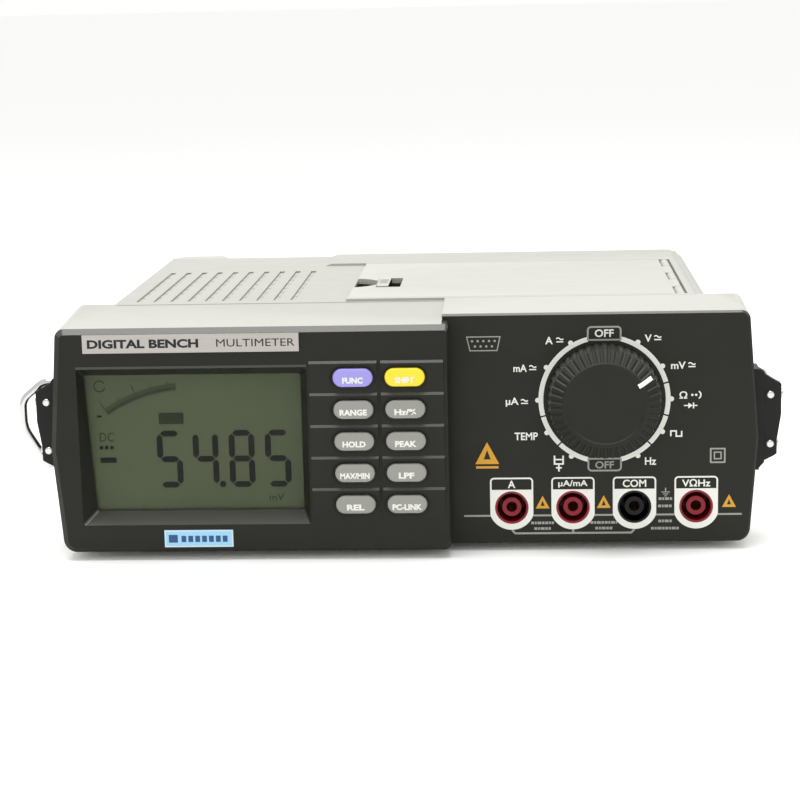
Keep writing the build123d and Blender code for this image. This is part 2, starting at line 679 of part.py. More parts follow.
def display_board():
    """Circuit board behind the display and the keys."""
    board = box(-HALF_W + 7.5, JOG_X - 0.5, DISPLAY_BOARD_Y, DISPLAY_BOARD_Y + PCB_T,
                Z_BASE + 6.5, LEFT_TOP - 5.5)
    return cut(board, [cyl_y(x, z, BOARD_SCREW_R, 0, 20) for x, z in display_post_places()])


def board_screws():
    """Screws that hold the display board to its posts."""
    y = DISPLAY_BOARD_Y + PCB_T
    return [cyl_y(x, z, BOARD_HEAD_R, y, y + 1.5) + cyl_y(x, z, BOARD_SCREW_R, y - BOARD_SCREW_L, y + 0.5)
            for x, z in display_post_places()]


def keypad_guide():
    """Plate that keeps the key stems square."""
    y0 = DISPLAY_Y + PANEL_T + GUIDE_GAP
    plate = box(RECESS_X1 + 3.3, JOG_X - 0.4, y0, y0 + GUIDE_T, KEY_ZS[-1] - 6.5, KEY_ZS[0] + 6.5)
    holes = [cyl_y(x, z, STEM_R + 0.3, y0 - 1, y0 + GUIDE_T + 1) for x in KEY_XS for z in KEY_ZS]
    return cut(plate, holes)


def key_cap(x, z):
    """Key: rounded cap, flange behind the panel and a stem."""
    flange_y = DISPLAY_Y + PANEL_T + 0.1
    front = DISPLAY_Y - KEY_PROUD
    cap = prism_y(pill(x, z, KEY_W, KEY_H), front, flange_y)
    rim = cap.edges().filter_by(lambda e: abs(e.center().Y - front) < 1e-4)
    cap = fillet(rim, KEY_RIM_R)
    rim = pill(x, z, KEY_W + 2 * KEY_FLANGE, KEY_H + 2 * KEY_FLANGE)
    flange = prism_y(rim, flange_y, flange_y + KEY_FLANGE_T)
    stem_end = DISPLAY_BOARD_Y - TACT_H - PLUNGER_H - KEY_TRAVEL - 0.1
    return cap + flange + cyl_y(x, z, STEM_R, flange_y, stem_end)


def tact_switches():
    """One push switch behind each key."""
    y = DISPLAY_BOARD_Y
    half = TACT_SIDE / 2
    return [box(x - half, x + half, y - TACT_H, y, z - half, z + half)
            + cyl_y(x, z, PLUNGER_R, y - TACT_H - PLUNGER_H, y - TACT_H) for x in KEY_XS for z in KEY_ZS]


def knob_envelope():
    """Knob's outer shape, without flutes."""
    points = [(0, 0), (KNOB_R_BASE, 0), (KNOB_R, KNOB_SIDE_H), (KNOB_R_FACE, KNOB_H), (0, KNOB_H)]
    return revolve(Plane.XZ * make_face(Polyline(*points, close=True)), axis=Axis.Z, revolution_arc=360)


def knob_flute():
    """Tool for one flute: up the side, then up the bevel to just below the face."""
    draft = degrees(atan2(KNOB_R_BASE - KNOB_R, KNOB_SIDE_H))
    side = Pos(KNOB_R + FLUTE_R - FLUTE_DEPTH, 0, KNOB_SIDE_H) * Rot(0, -draft, 0) * Cylinder(FLUTE_R, 30)
    run, rise = KNOB_R - KNOB_R_FACE, KNOB_H - KNOB_SIDE_H
    slope = hypot(run, rise)
    start, stop = -FLUTE_RUN_OUT, slope - FLUTE_STOP
    middle = (start + stop) / 2
    lift = FLUTE_R - FLUTE_DEPTH
    x = KNOB_R - run * middle / slope + lift * rise / slope
    z = KNOB_SIDE_H + rise * middle / slope + lift * run / slope
    bevel = Pos(x, 0, z) * Rot(0, -degrees(atan2(run, rise)), 0) * Cylinder(FLUTE_R, stop - start)
    return [side, bevel]


def knob():
    """Range knob: fluted side and bevel, dished face, hollow back and hub."""
    turns = [Rot(0, 0, 360 / KNOB_FLUTES * (i + 0.5)) for i in range(KNOB_FLUTES)]
    inner = KNOB_R_FACE - KNOB_RIM
    dish = Pos(0, 0, KNOB_H - KNOB_DISH / 2) * Cone(inner - 2 * KNOB_DISH, inner, KNOB_DISH)
    turned = knob_envelope() - [turn * tool for turn in turns for tool in knob_flute()] - dish
    cavity = Cylinder(KNOB_CAVITY_R, 2 * (KNOB_SIDE_H - 0.5)) - Cylinder(HUB_R, 30)
    turned = turned - cavity - Pos(0, 0, KNOB_H / 2 - 2) * Cylinder(SHAFT_R, KNOB_H)
    placed = Pos(KNOB_X, -KNOB_GAP, KNOB_CZ) * Rot(90, 0, 0) * turned
    return placed - pointer_block()


def pointer_block():
    """Groove across the knob's face and bevel, which the pointer fills."""
    ahead = 1.0
    length = POINTER_R1 - POINTER_R0
    y_middle = -KNOB_GAP - KNOB_H + (POINTER_DEPTH - ahead) / 2
    bar = Pos((POINTER_R0 + POINTER_R1) / 2, 0, 0) * Box(length, POINTER_DEPTH + ahead, POINTER_W)
    return Pos(KNOB_X, y_middle, KNOB_CZ) * Rot(0, -POINTER_ANGLE, 0) * bar


def knob_parts():
    """Knob with a groove, and the white pointer inlaid in it."""
    envelope = Pos(KNOB_X, -KNOB_GAP, KNOB_CZ) * Rot(90, 0, 0) * knob_envelope()
    return {"knob": knob(), "knob_pointer": pointer_block() & envelope}


def knob_at(angle, radius, y0, y1, size):
    """Small cylinder on the knob's axis frame."""
    x = KNOB_X + radius * cos(radians(angle))
    z = KNOB_CZ + radius * sin(radians(angle))
    return cyl_y(x, z, size, y0, y1)


def rotary_switch():
    """Shaft, detent ring, rotor and wipers behind the control section."""
    y_detent = PANEL_T
    shaft = cyl_y(KNOB_X, KNOB_CZ, SHAFT_R, -KNOB_GAP - KNOB_H + 2.35, SHAFT_BACK)
    ring = cyl_y(KNOB_X, KNOB_CZ, DETENT_R_OUT, y_detent, y_detent + DETENT_T)
    ring = ring - cyl_y(KNOB_X, KNOB_CZ, DETENT_R_IN, y_detent - 1, y_detent + DETENT_T + 1)
    step = 360 / DETENTS
    for i in range(DETENTS):
        ring = ring - knob_at(step * i, DETENT_R_IN, y_detent - 1, y_detent + DETENT_T + 1, NOTCH_R)
    y0 = y_detent + 0.5
    rotor = cyl_y(KNOB_X, KNOB_CZ, ROTOR_R, y0, y0 + ROTOR_T)
    for angle in (POINTER_ANGLE, POINTER_ANGLE + 180):
        rotor = rotor + knob_at(angle, ROTOR_R + 0.6, y0, y0 + ROTOR_T, 1.1)
    disc_y1 = SWITCH_BOARD_Y - 3.0
    rotor = rotor + cyl_y(KNOB_X, KNOB_CZ, HUB_R, y0, disc_y1)
    rotor = rotor + cyl_y(KNOB_X, KNOB_CZ, ROTOR_R + 1, disc_y1 - 2, disc_y1)
    rotor = rotor - cyl_y(KNOB_X, KNOB_CZ, SHAFT_R, -1, SHAFT_BACK + 1)
    wipers = []
    for angle in (POINTER_ANGLE, POINTER_ANGLE + 120, POINTER_ANGLE + 240):
        arm = box(WIPER_R0, WIPER_R1, disc_y1, disc_y1 + 0.4, -WIPER_W / 2, WIPER_W / 2)
        tip = box(WIPER_R1 - 2.5, WIPER_R1, disc_y1, SWITCH_BOARD_Y - 0.1, -WIPER_W / 2, WIPER_W / 2)
        wipers.append(Pos(KNOB_X, 0, KNOB_CZ) * Rot(0, -angle, 0) * (arm + tip))
    return {"switch_shaft": shaft, "detent_ring": ring, "switch_rotor": rotor, "wiper_contacts": wipers}


def switch_board():
    """Circuit board behind the rotary switch and the jacks."""
    y0 = SWITCH_BOARD_Y
    board = box(SPLIT_X + 4, HALF_W - 7.5, y0, y0 + PCB_T, Z_BASE + 6.0, RIGHT_TOP - 5)
    tools = [cyl_y(KNOB_X, KNOB_CZ, SHAFT_R + 0.5, y0 - 1, y0 + PCB_T + 1)]
    return cut(board, tools)


def jack_tube(x, radius, bore, y0, y1):
    return cyl_y(x, JACK_CZ, radius, y0, y1) - cyl_y(x, JACK_CZ, bore, y0 - 1, y1 + 1)


def jack_shell(x):
    """Insulating sleeve with a flange behind the panel."""
    inner = JACK_SHELL_R - JACK_SHELL_T
    sleeve = jack_tube(x, JACK_SHELL_R, inner, 0, JACK_DEPTH)
    return sleeve + jack_tube(x, JACK_FLANGE_R, inner, PANEL_T, PANEL_T + JACK_FLANGE_T)


def jack_floor(x):
    """Disc that closes the back of the sleeve."""
    return cyl_y(x, JACK_CZ, JACK_SHELL_R - JACK_SHELL_T, JACK_FLOOR, JACK_DEPTH)


def jack_post(x):
    """Insulated post round a contact, with a lip over the contact's end."""
    lip = jack_tube(x, POST_R, CONTACT_R, POST_RECESS, CONTACT_RECESS)
    return jack_tube(x, POST_R, CONTACT_R_OUT, CONTACT_RECESS, JACK_FLOOR) + lip


def jacks():
    """Shrouded 4 mm jacks: shells, posts, floors and contacts."""
    red = [x for i, x in enumerate(JACK_XS) if i != COM_INDEX]
    com = JACK_XS[COM_INDEX]
    sleeves = [jack_tube(x, CONTACT_R_OUT, CONTACT_R, CONTACT_RECESS, JACK_FLOOR) for x in JACK_XS]
    tails = [cyl_y(x, JACK_CZ, TAIL_R, JACK_DEPTH, SWITCH_BOARD_Y) for x in JACK_XS]
    return {
        "jack_red_shells": [jack_shell(x) for x in red] + [jack_floor(x) for x in red],
        "jack_black_shell": [jack_shell(com), jack_floor(com)],
        "jack_red_posts": [jack_post(x) for x in red],
        "jack_black_post": jack_post(com),
        "jack_contacts": sleeves + tails,
    }


def rear_panel():
    """Flat rear panel with the inlet and serial port cut-outs."""
    y0, y1 = REAR_PANEL_Y + 0.02, REAR_PANEL_Y + REAR_PANEL_T - 0.02
    panel = prism_y(body_section(WALL + FIT), y0, y1)
    w, h = INLET_W / 2 + INLET_WALL, INLET_H / 2 + INLET_WALL
    inlet = box(INLET_X - w, INLET_X + w, y0 - 1, y1 + 1, INLET_Z - h, INLET_Z + h)
    w, h = SERIAL_W / 2, SERIAL_H / 2
    serial = box(SERIAL_X - w, SERIAL_X + w, y0 - 1, y1 + 1, SERIAL_Z - h, SERIAL_Z + h)
    vents = [box(x, x + VENT_GAP, y0 - 1, y1 + 1, *REAR_VENT_Z)
             for x in vent_starts(REAR_VENT_X0, REAR_VENT_PITCH, REAR_VENTS, VENT_GAP)]
    return cut(panel, [inlet, serial] + vents)


def mains_inlet():
    """Appliance inlet: flanged socket with three flat pins."""
    y_face = REAR_PANEL_Y + REAR_PANEL_T
    w, h = INLET_W / 2, INLET_H / 2
    y_mouth = y_face + 1.8
    y_floor = y_mouth - INLET_DEPTH
    body = box(INLET_X - w - INLET_WALL, INLET_X + w + INLET_WALL, y_floor - 2, y_face,
               INLET_Z - h - INLET_WALL, INLET_Z + h + INLET_WALL)
    flange = box(INLET_X - w - INLET_FLANGE, INLET_X + w + INLET_FLANGE, y_face, y_mouth,
                 INLET_Z - h - INLET_FLANGE, INLET_Z + h + INLET_FLANGE)
    socket = box(INLET_X - w, INLET_X + w, y_floor, y_mouth + 1, INLET_Z - h, INLET_Z + h)
    places = [(-INLET_PIN_PITCH, -2), (0, 2), (INLET_PIN_PITCH, -2)]
    pins = []
    for dx, dz in places:
        x, z = INLET_X + dx, INLET_Z + dz
        pins.append(box(x - INLET_PIN_W / 2, x + INLET_PIN_W / 2, y_floor - 6, y_floor + INLET_PIN_L,
                        z - INLET_PIN_H / 2, z + INLET_PIN_H / 2))
    return {"mains_inlet": cut(body + flange, [socket] + pins), "mains_pins": pins}


def serial_profile(grow):
    """D-shaped outline of the serial connector."""
    w, h = SERIAL_W / 2 + grow, SERIAL_H / 2 + grow
    points = [(-w, h), (w, h), (w - 1.6, -h), (-w + 1.6, -h)]
    return Pos(SERIAL_X, SERIAL_Z) * rounded(points, [1.6, 1.6, 1.6, 1.6])


def serial_port():
    """Metal shell with its flange and screw posts, and the insert in it."""
    y0 = REAR_PANEL_Y - 1.0
    y1 = y0 + 1.0 + SERIAL_OUT
    shell = prism_y(serial_profile(-0.2), y0, y1)
    w, h = SERIAL_FLANGE_W / 2, SERIAL_FLANGE_H / 2
    flange = box(SERIAL_X - w, SERIAL_X + w, y0, y0 + 1.0, SERIAL_Z - h, SERIAL_Z + h)
    shell = shell + flange - prism_y(serial_profile(-0.2 - SERIAL_T), y0 - 1, y1 + 1)
    insert = prism_y(serial_profile(-0.25 - SERIAL_T), y0 - 4.0, y0 + 1.0)
    holes = [cyl_y(SERIAL_X + 2.77 * (i - 2), SERIAL_Z + 1.4, 0.6, y0 - 2, y0 + 2) for i in range(5)]
    holes += [cyl_y(SERIAL_X + 2.77 * (i - 1.5), SERIAL_Z - 1.4, 0.6, y0 - 2, y0 + 2) for i in range(4)]
    return {"serial_shell": shell, "serial_insert": cut(insert, holes)}


def rear_bumpers():
    """Upright bumpers at the rear corners, which the case can stand on."""
    solids = []
    z0, z1 = Z_BASE + 2, Z_TOP - 0.5
    for side in (-1, 1):
        edge = side * (BODY_HALF - BODY_DRAFT - 3.0)
        inner = edge - side * BUMPER_W
        shift = side * BUMPER_SLOPE
        back = CASE_DEPTH + BUMPER_D
        points = [(inner, CASE_DEPTH), (edge, CASE_DEPTH), (edge - shift, back), (inner + shift, back)]
        plan = Plane.XY.offset(z0) * rounded(points, [0, 0, 2, 2])
        bumper = extrude(plan, amount=z1 - z0, dir=(0, 0, 1))
        waist = box(min(edge, inner) - 1, max(edge, inner) + 1, CASE_DEPTH + BUMPER_D - 4, back + 1,
                    z0 + 22, z1 - 22)
        solids.append(bumper - waist)
    return solids


def hatch_lid():
    """Battery hatch: plate, finger notch, latch slot and hinge knuckles."""
    z0, z1 = Z_PLATEAU - HATCH_T, Z_PLATEAU
    lid = box(HATCH_X0, HATCH_X1, HATCH_Y0, HATCH_Y1, z0 + 0.02, z1)
    for y0, y1 in knuckle_spans()[1::2]:
        lid = lid + cyl_y(HINGE_X, HINGE_Z, KNUCKLE_R, y0 + KNUCKLE_GAP, y1 - KNUCKLE_GAP)
        lid = lid + box(HATCH_X1 - 1, HINGE_X, y0 + KNUCKLE_GAP, y1 - KNUCKLE_GAP, z0 + 0.02, z1 - 0.3)
    lid = lid - cyl_y(HINGE_X, HINGE_Z, HATCH_PIN_R + PIN_GAP, HATCH_Y0 - 1, HATCH_Y1 + 1)
    thumb = cyl_z(HATCH_X0 - THUMB_R + THUMB_W, THUMB_Y, THUMB_R + 1.0, z0 - 1, z1 + 1)
    thumb = thumb & box(HATCH_X0 - 1, HATCH_X0 + THUMB_W, THUMB_Y - THUMB_R, THUMB_Y + THUMB_R,
                        z0 - 1, z1 + 1)
    slot = box(LATCH_SLOT_X0, LATCH_SLOT_X0 + LATCH_SLOT_W, THUMB_Y - LATCH_SLOT_L / 2,
               THUMB_Y + LATCH_SLOT_L / 2, z0 - 1, z1 + 1)
    return cut(lid, [thumb, slot])


def hatch_latch():
    """Sliding latch: a bar in the lid's slot and a tongue below the lid, which ends at the lid's edge."""
    z0, z1 = Z_PLATEAU - HATCH_T, Z_PLATEAU
    gap = LATCH_GAP
    y0, y1 = THUMB_Y - LATCH_SLOT_L / 2 + gap, THUMB_Y + LATCH_SLOT_L / 2 - gap
    x0 = LATCH_SLOT_X0 + gap
    bar = box(x0, x0 + LATCH_W, y0, y1, z0 - 0.4, z1)
    tongue = box(HATCH_X0 + 0.1, x0 + LATCH_W + 5.5, y0, y1, z0 - 0.2 - LATCH_T, z0 - 0.15)
    return bar + tongue


def battery_box():
    """Tray below the hatch, its cells and end contacts."""
    z1 = CEILING
    outer = box(TRAY_X0 - TRAY_WALL, TRAY_X1 + TRAY_WALL, TRAY_Y0 - TRAY_WALL, TRAY_Y1 + TRAY_WALL,
                TRAY_Z, z1)
    inner = box(TRAY_X0, TRAY_X1, TRAY_Y0, TRAY_Y1, TRAY_Z + TRAY_WALL, z1 + 1)
    tray = outer - inner
    middle = (TRAY_Y0 + TRAY_Y1) / 2
    for side in (-1, 1):
        y = middle + side * CELL_PITCH / 2
        tray = tray + box(TRAY_X0, TRAY_X1, y - RIB_T / 2, y + RIB_T / 2, TRAY_Z + 1, TRAY_Z + RIB_H)
    floor = TRAY_Z + TRAY_WALL
    centre_x = (TRAY_X0 + TRAY_X1) / 2
    rows = [middle + row * CELL_PITCH for row in (-1, 0, 1)]
    cells = []
    for y in rows:
        for x0 in (centre_x - CELL_SPACE - CELL_L, centre_x + CELL_SPACE):
            shoulder = x0 + CELL_L - CELL_NOSE_L
            can = cyl_x(y, floor + CELL_R, CELL_R, x0, shoulder)
            cells.append(can + cyl_x(y, floor + CELL_R, CELL_NOSE_R, shoulder, x0 + CELL_L))
    z0, z1 = floor + PLATE_Z[0], floor + PLATE_Z[1]
    plates = [box(x, x + PLATE_T, y - PLATE_HALF_W, y + PLATE_HALF_W, z0, z1)
              for x in (TRAY_X0 + 0.1, TRAY_X1 - 0.1 - PLATE_T) for y in rows]
    return {"battery_tray": tray, "battery_cells": cells, "battery_contacts": plates}


def mirrored(solid, side):
    """Solid modelled on the right side, or its mirror image on the left."""
    return solid if side > 0 else mirror(solid, about=Plane.YZ)


def lug_bases(outer):
    """Black lug: pad on the collar, front plate and a block with half of the ring's bearing."""
    z0 = Z_BASE + LUG_Z
    zr = Z_BASE + RING_Z
    inside = HALF_W - 4.0
    axis_x = HALF_W + RING_AXIS_OUT
    low, high = z0 - LUG_HALF_H, z0 + LUG_HALF_H
    split = axis_x - 0.02
    outline = [(inside, low), (HALF_W + 0.6, low), (split, low + 3.0), (split, high - 1.2),
               (HALF_W + 1.6, high), (inside, high)]
    plate = prism_y(rounded(outline, [0, 0.5, 0.8, 0.8, 2, 0]), LUG_Y0, LUG_Y0 + LUG_PLATE_T)
    pad = box(inside, HALF_W + LUG_PAD_OUT, LUG_Y0, LUG_Y1 + 3, low, high)
    block = box(inside, split, LUG_Y0 + 1, LUG_Y1, zr - LUG_BLOCK_HALF, zr + LUG_BLOCK_HALF)
    right = (pad + block + plate) - ring_groove()
    right = cut(right, lug_screw_tools())
    return [mirrored(right, side) - outer for side in (-1, 1)]


def ring_groove():
    """Bearing of the ring's bar."""
    zr = Z_BASE + RING_Z
    return cyl_z(HALF_W + RING_AXIS_OUT, RING_AXIS_Y, RING_WIRE_R + RING_GAP, zr - 30, zr + 30)


def lug_screw_places():
    """Heights of one lug's screws, and how far out the cap reaches at each."""
    zr = Z_BASE + RING_Z
    return list(zip([zr + dz for dz in LUG_SCREW_Z], [HALF_W + LUG_CAP_LOW_OUT, HALF_W + LUG_CAP_OUT]))


def lug_screw_tools():
    """Shanks of one lug's screws: long ones from the side and short ones from the front."""
    places = lug_screw_places()
    tools = [cyl_x(LUG_SCREW_Y, z, LUG_SCREW_R, HALF_W - 1.5, out) for z, out in places]
    tools += [cyl_y(HALF_W + LUG_PIN_OUT, z, LUG_PIN_R, LUG_Y0, LUG_Y0 + LUG_PIN_L) for z, out in places]
    return tools


def dome(radius, height):
    """Rounded screw head, standing on the XY plane."""
    head = Cylinder(radius, height, align=(Align.CENTER, Align.CENTER, Align.MIN))
    return fillet(head.edges().filter_by(lambda e: abs(e.center().Z - height) < 1e-4), height * 0.7)


def lug_screws(outer):
    """Bright screws through each lug's cap, and two in its front."""
    tools = lug_screw_tools()
    solids = []
    for (z, out), shank, pin in zip(lug_screw_places(), tools[:2], tools[2:]):
        side_head = Pos(out, LUG_SCREW_Y, z) * Rot(0, 90, 0) * dome(LUG_HEAD_R, LUG_HEAD_T)
        front_head = Pos(HALF_W + LUG_PIN_OUT, LUG_Y0, z) * Rot(90, 0, 0) * dome(LUG_HEAD_R, LUG_HEAD_T)
        solids += [shank - outer + side_head, pin + front_head]
    return solids + [mirrored(solid, -1) for solid in solids]


def lug_caps():
    """Outer plates that close the ring's bearing, with a rounded eye behind the bar."""
    split = HALF_W + RING_AXIS_OUT + 0.02
    zr = Z_BASE + RING_Z
    low, high = zr + LUG_CAP_Z[0], zr + LUG_CAP_Z[1]
    z_low, z_high = zr + LUG_SCREW_Z[0], zr + LUG_SCREW_Z[1]
    low_x, high_x = HALF_W + LUG_CAP_LOW_OUT, HALF_W + LUG_CAP_OUT
    outline = [(split, low - 1.5), (low_x - 1.6, low), (low_x, low + 1.0), (low_x, z_low + LUG_HEAD_R),
               (high_x, z_high - LUG_HEAD_R - 6.0), (high_x, high - 1.0), (high_x - 2.0, high),
               (split, high + 2.6)]
    cap = prism_y(rounded(outline, [0, 0.6, 0.6, 2, 4, 0.8, 0.8, 0]), LUG_Y0, LUG_Y0 + LUG_PLATE_T)
    eye = cyl_z(split, RING_AXIS_Y, LUG_EYE_R, zr - LUG_BLOCK_HALF, zr + LUG_BLOCK_HALF)
    eye = eye & box(split, HALF_W + 20, 0, 30, 0, Z_TOP)
    web = box(split, split + LUG_EYE_R, LUG_Y0 + 1, RING_AXIS_Y, zr - LUG_BLOCK_HALF, zr + LUG_BLOCK_HALF)
    cap = cut(cap + eye + web, [ring_groove()] + lug_screw_tools())
    return [mirrored(cap, side) for side in (-1, 1)]


def d_ring():
    """Wire ring on its own axis: the bar lies on Z and the bow reaches along +X."""
    h, reach = RING_HALF, RING_REACH
    points = [(0, 0), (0, h), (0.34 * reach, h), (reach, 0.58 * h), (reach, -0.1 * h),
              (0.3 * reach, -h), (0, -h)]
    path = FilletPolyline(*points, radius=[0, 2.0, 6.0, 6.0, 12.0, 2.5, 1.2], close=True)
    wire = Plane.XZ * path
    start = Plane(origin=(0, 0, 0), z_dir=(0, 0, 1)) * Circle(RING_WIRE_R)
    return sweep(start, path=wire)


def rings():
    """Left ring swung out to the side, right ring folded back against the case."""
    ring = d_ring()
    axis_x = HALF_W + RING_AXIS_OUT
    zr = Z_BASE + RING_Z
    left = Pos(-axis_x, RING_AXIS_Y, zr) * Rot(0, 0, 180) * ring
    right = Pos(axis_x, RING_AXIS_Y, zr) * Rot(0, 0, 90) * ring
    return {"ring_left": left, "ring_right": right}


def main_board():
    """Power and measuring board above the floor."""
    return box(-BOARD_X, BOARD_X, BOARD_Y0, BOARD_Y1, BOARD_Z, BOARD_Z + PCB_T)


def board_parts():
    """Transformer, capacitors and fuses on the main board."""
    z = BOARD_Z + PCB_T
    y1 = CORE_Y0 + CORE_T
    core = box(CORE_X0, CORE_X0 + CORE_W, CORE_Y0, y1, z, z + CORE_H)
    left = CORE_X0 + CORE_LEG
    right = CORE_X0 + CORE_W - CORE_LEG
    for x in (left, right - CORE_WINDOW_W):
        core = core - box(x, x + CORE_WINDOW_W, CORE_Y0 - 1, y1 + 1, z + CORE_LEG, z + CORE_H - CORE_LEG)
    gap = WINDING_GAP
    winding = box(left + gap, right - gap, CORE_Y0 - WINDING_OUT, y1 + WINDING_OUT,
                  z + CORE_LEG + gap, z + CORE_H - CORE_LEG - gap)
    winding = winding - box(left + CORE_WINDOW_W - gap, right - CORE_WINDOW_W + gap, CORE_Y0 - gap, y1 + gap,
                            z, z + CORE_H)
    caps = [cyl_z(x, y, CAPACITOR_R, z, z + CAPACITOR_H) for x, y in CAPACITOR_PLACES]
    axis_z = z + CLIP_AXIS
    fuses = [cyl_x(y, axis_z, FUSE_R, FUSE_X0, FUSE_X0 + FUSE_L) for y in FUSE_Y]
    clips = [box(x, x + CLIP_L, y - CLIP_W / 2, y + CLIP_W / 2, z, z + CLIP_H)
             - cyl_x(y, axis_z, FUSE_R, x - 1, x + CLIP_L + 1)
             for y in FUSE_Y for x in (FUSE_X0, FUSE_X0 + FUSE_L - CLIP_L)]
    return {"transformer_core": core, "transformer_winding": winding, "capacitors": caps, "fuses": fuses,
            "fuse_clips": clips}


def case_screws():
    """Screws from the underside into the top cover's bosses."""
    z = Z_BASE + COUNTERBORE
    return [cyl_z(x, y, CASE_HEAD_R, z - CASE_HEAD_T, z) + cyl_z(x, y, CASE_SCREW_R, z - 1, CASE_SCREW_TOP)
            for x, y in case_screw_places()]


def feet():
    """Rubber feet under the bottom cover."""
    solids = []
    for side in (-1, 1):
        for y in FOOT_Y:
            foot = cyl_z(side * FOOT_X, y, FOOT_R, 0, FOOT_H)
            solids.append(fillet(foot.edges().filter_by(lambda e: abs(e.center().Z) < 1e-4), 1.0))
    return solids


def labels():
    """Name strip above the display and sticker below it, both left blank."""
    y = DISPLAY_Y
    strip_z1 = LEFT_TOP - BEVEL_LEFT - 0.1
    strip = box(RECESS_X0 + STRIP_IN, RECESS_X1 - STRIP_RIGHT_IN, y - LABEL_T, y,
                strip_z1 - STRIP_H, strip_z1)
    x0 = RECESS_X0 + STICKER_X
    z0 = Z_BASE + BEVEL_LEFT + 0.2
    return {"name_strip": strip, "sticker": box(x0, x0 + STICKER_W, y - STICKER_T, y, z0, z0 + STICKER_H)}


def build():
    """Every node, by name."""
    outer = case_outer()
    shell = case_shell()
    nodes = {
        "top_cover": top_cover(shell),
        "bottom_cover": bottom_cover(shell),
        "front_panel": front_panel(),
        "rear_panel": rear_panel(),
        "display_board": display_board(),
        "board_screws": board_screws(),
        "keypad_guide": keypad_guide(),
        "tact_switches": tact_switches(),
        "switch_board": switch_board(),
        "rear_bumpers": rear_bumpers(),
        "hatch_lid": hatch_lid(),
        "hatch_latch": hatch_latch(),
        "hatch_pin": cyl_y(HINGE_X, HINGE_Z, HATCH_PIN_R, HATCH_Y0, HATCH_Y1),
        "lug_bases": lug_bases(outer),
        "lug_caps": lug_caps(),
        "lug_screws": lug_screws(outer),
        "main_board": main_board(),
        "case_screws": case_screws(),
        "feet": feet(),
    }
    for column, x in zip("ab", KEY_XS):
        for row, z in enumerate(KEY_ZS, start=1):
            nodes["key_%s%d" % (column, row)] = key_cap(x, z)
    for group in (display_stack(), knob_parts(), rotary_switch(), jacks(), mains_inlet(), serial_port(),
                  battery_box(), rings(), board_parts(), labels()):
        nodes.update(group)
    return nodes


def write(nodes):
    """One STEP file for each node."""
    os.makedirs("parts", exist_ok=True)
    for name, shape in nodes.items():
        shapes = shape if isinstance(shape, list) else [shape]
        solids = [solid for item in shapes for solid in item.solids()]
        whole = Compound(children=solids) if len(solids) > 1 else solids[0]
        whole.label = name
        export_step(whole, "parts/%s.step" % name)


write(build())
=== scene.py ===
import json
import math

import bmesh
import bpy
from mathutils import Matrix, Vector


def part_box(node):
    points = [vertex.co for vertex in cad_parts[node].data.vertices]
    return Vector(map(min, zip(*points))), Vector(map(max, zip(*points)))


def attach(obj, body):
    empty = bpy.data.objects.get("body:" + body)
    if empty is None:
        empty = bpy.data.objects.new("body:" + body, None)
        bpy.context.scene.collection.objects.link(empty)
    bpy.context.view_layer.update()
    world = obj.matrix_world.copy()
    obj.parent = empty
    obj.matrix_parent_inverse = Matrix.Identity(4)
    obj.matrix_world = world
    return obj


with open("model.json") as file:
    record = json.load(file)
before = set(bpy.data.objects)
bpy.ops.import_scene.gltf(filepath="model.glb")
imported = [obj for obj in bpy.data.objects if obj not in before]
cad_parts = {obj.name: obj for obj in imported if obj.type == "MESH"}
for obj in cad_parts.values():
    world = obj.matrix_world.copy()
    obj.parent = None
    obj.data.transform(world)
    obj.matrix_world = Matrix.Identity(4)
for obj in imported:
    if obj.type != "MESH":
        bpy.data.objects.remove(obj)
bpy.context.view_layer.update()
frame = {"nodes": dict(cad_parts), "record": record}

MM = 0.001

# Places read from the frame, in millimetres
KNOB_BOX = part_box("knob")
KNOB_X = (KNOB_BOX[0].x + KNOB_BOX[1].x) / 2 / MM
KNOB_Z = (KNOB_BOX[0].z + KNOB_BOX[1].z) / 2 / MM
JACKS = {mount["name"]: [c / MM for c in mount["pos_m"]]
         for mount in frame["record"]["mounts"] if mount["name"].startswith("jack_")}
JACK_Z = JACKS["jack_com"][2]
KEYS = ["key_%s%d" % (column, row) for column in "ab" for row in range(1, 6)]
LCD_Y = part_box("lcd_glass")[0].y / MM

# Ink stands off the control section's face; some is printed over other ink
FACE_Y = 0.0
PRINT_Y = FACE_Y - 0.04
OVER_Y = PRINT_Y - 0.04
CENTRE_Y = PRINT_Y - 0.03
FITTING_LIFT = 0.02       # ink off a key, the strip or the sticker


# ---------------------------------------------------------------- materials

def ramp_range(tree, source, low, high, from_low=0.3, from_high=0.7):
    """Map a noise value to a range."""
    node = tree.nodes.new("ShaderNodeMapRange")
    node.inputs["From Min"].default_value = from_low
    node.inputs["From Max"].default_value = from_high
    node.inputs["To Min"].default_value = low
    node.inputs["To Max"].default_value = high
    tree.links.new(source, node.inputs["Value"])
    return node.outputs["Result"]


def noise(tree, scale, detail=2.0, stretch=None):
    """Noise in object space; scale is in features per metre."""
    coords = tree.nodes.new("ShaderNodeTexCoord").outputs["Object"]
    if stretch:
        mapping = tree.nodes.new("ShaderNodeMapping")
        mapping.inputs["Scale"].default_value = stretch
        tree.links.new(coords, mapping.inputs["Vector"])
        coords = mapping.outputs["Vector"]
    node = tree.nodes.new("ShaderNodeTexNoise")
    node.inputs["Scale"].default_value = scale
    node.inputs["Detail"].default_value = detail
    tree.links.new(coords, node.inputs["Vector"])
    return node.outputs["Fac"]


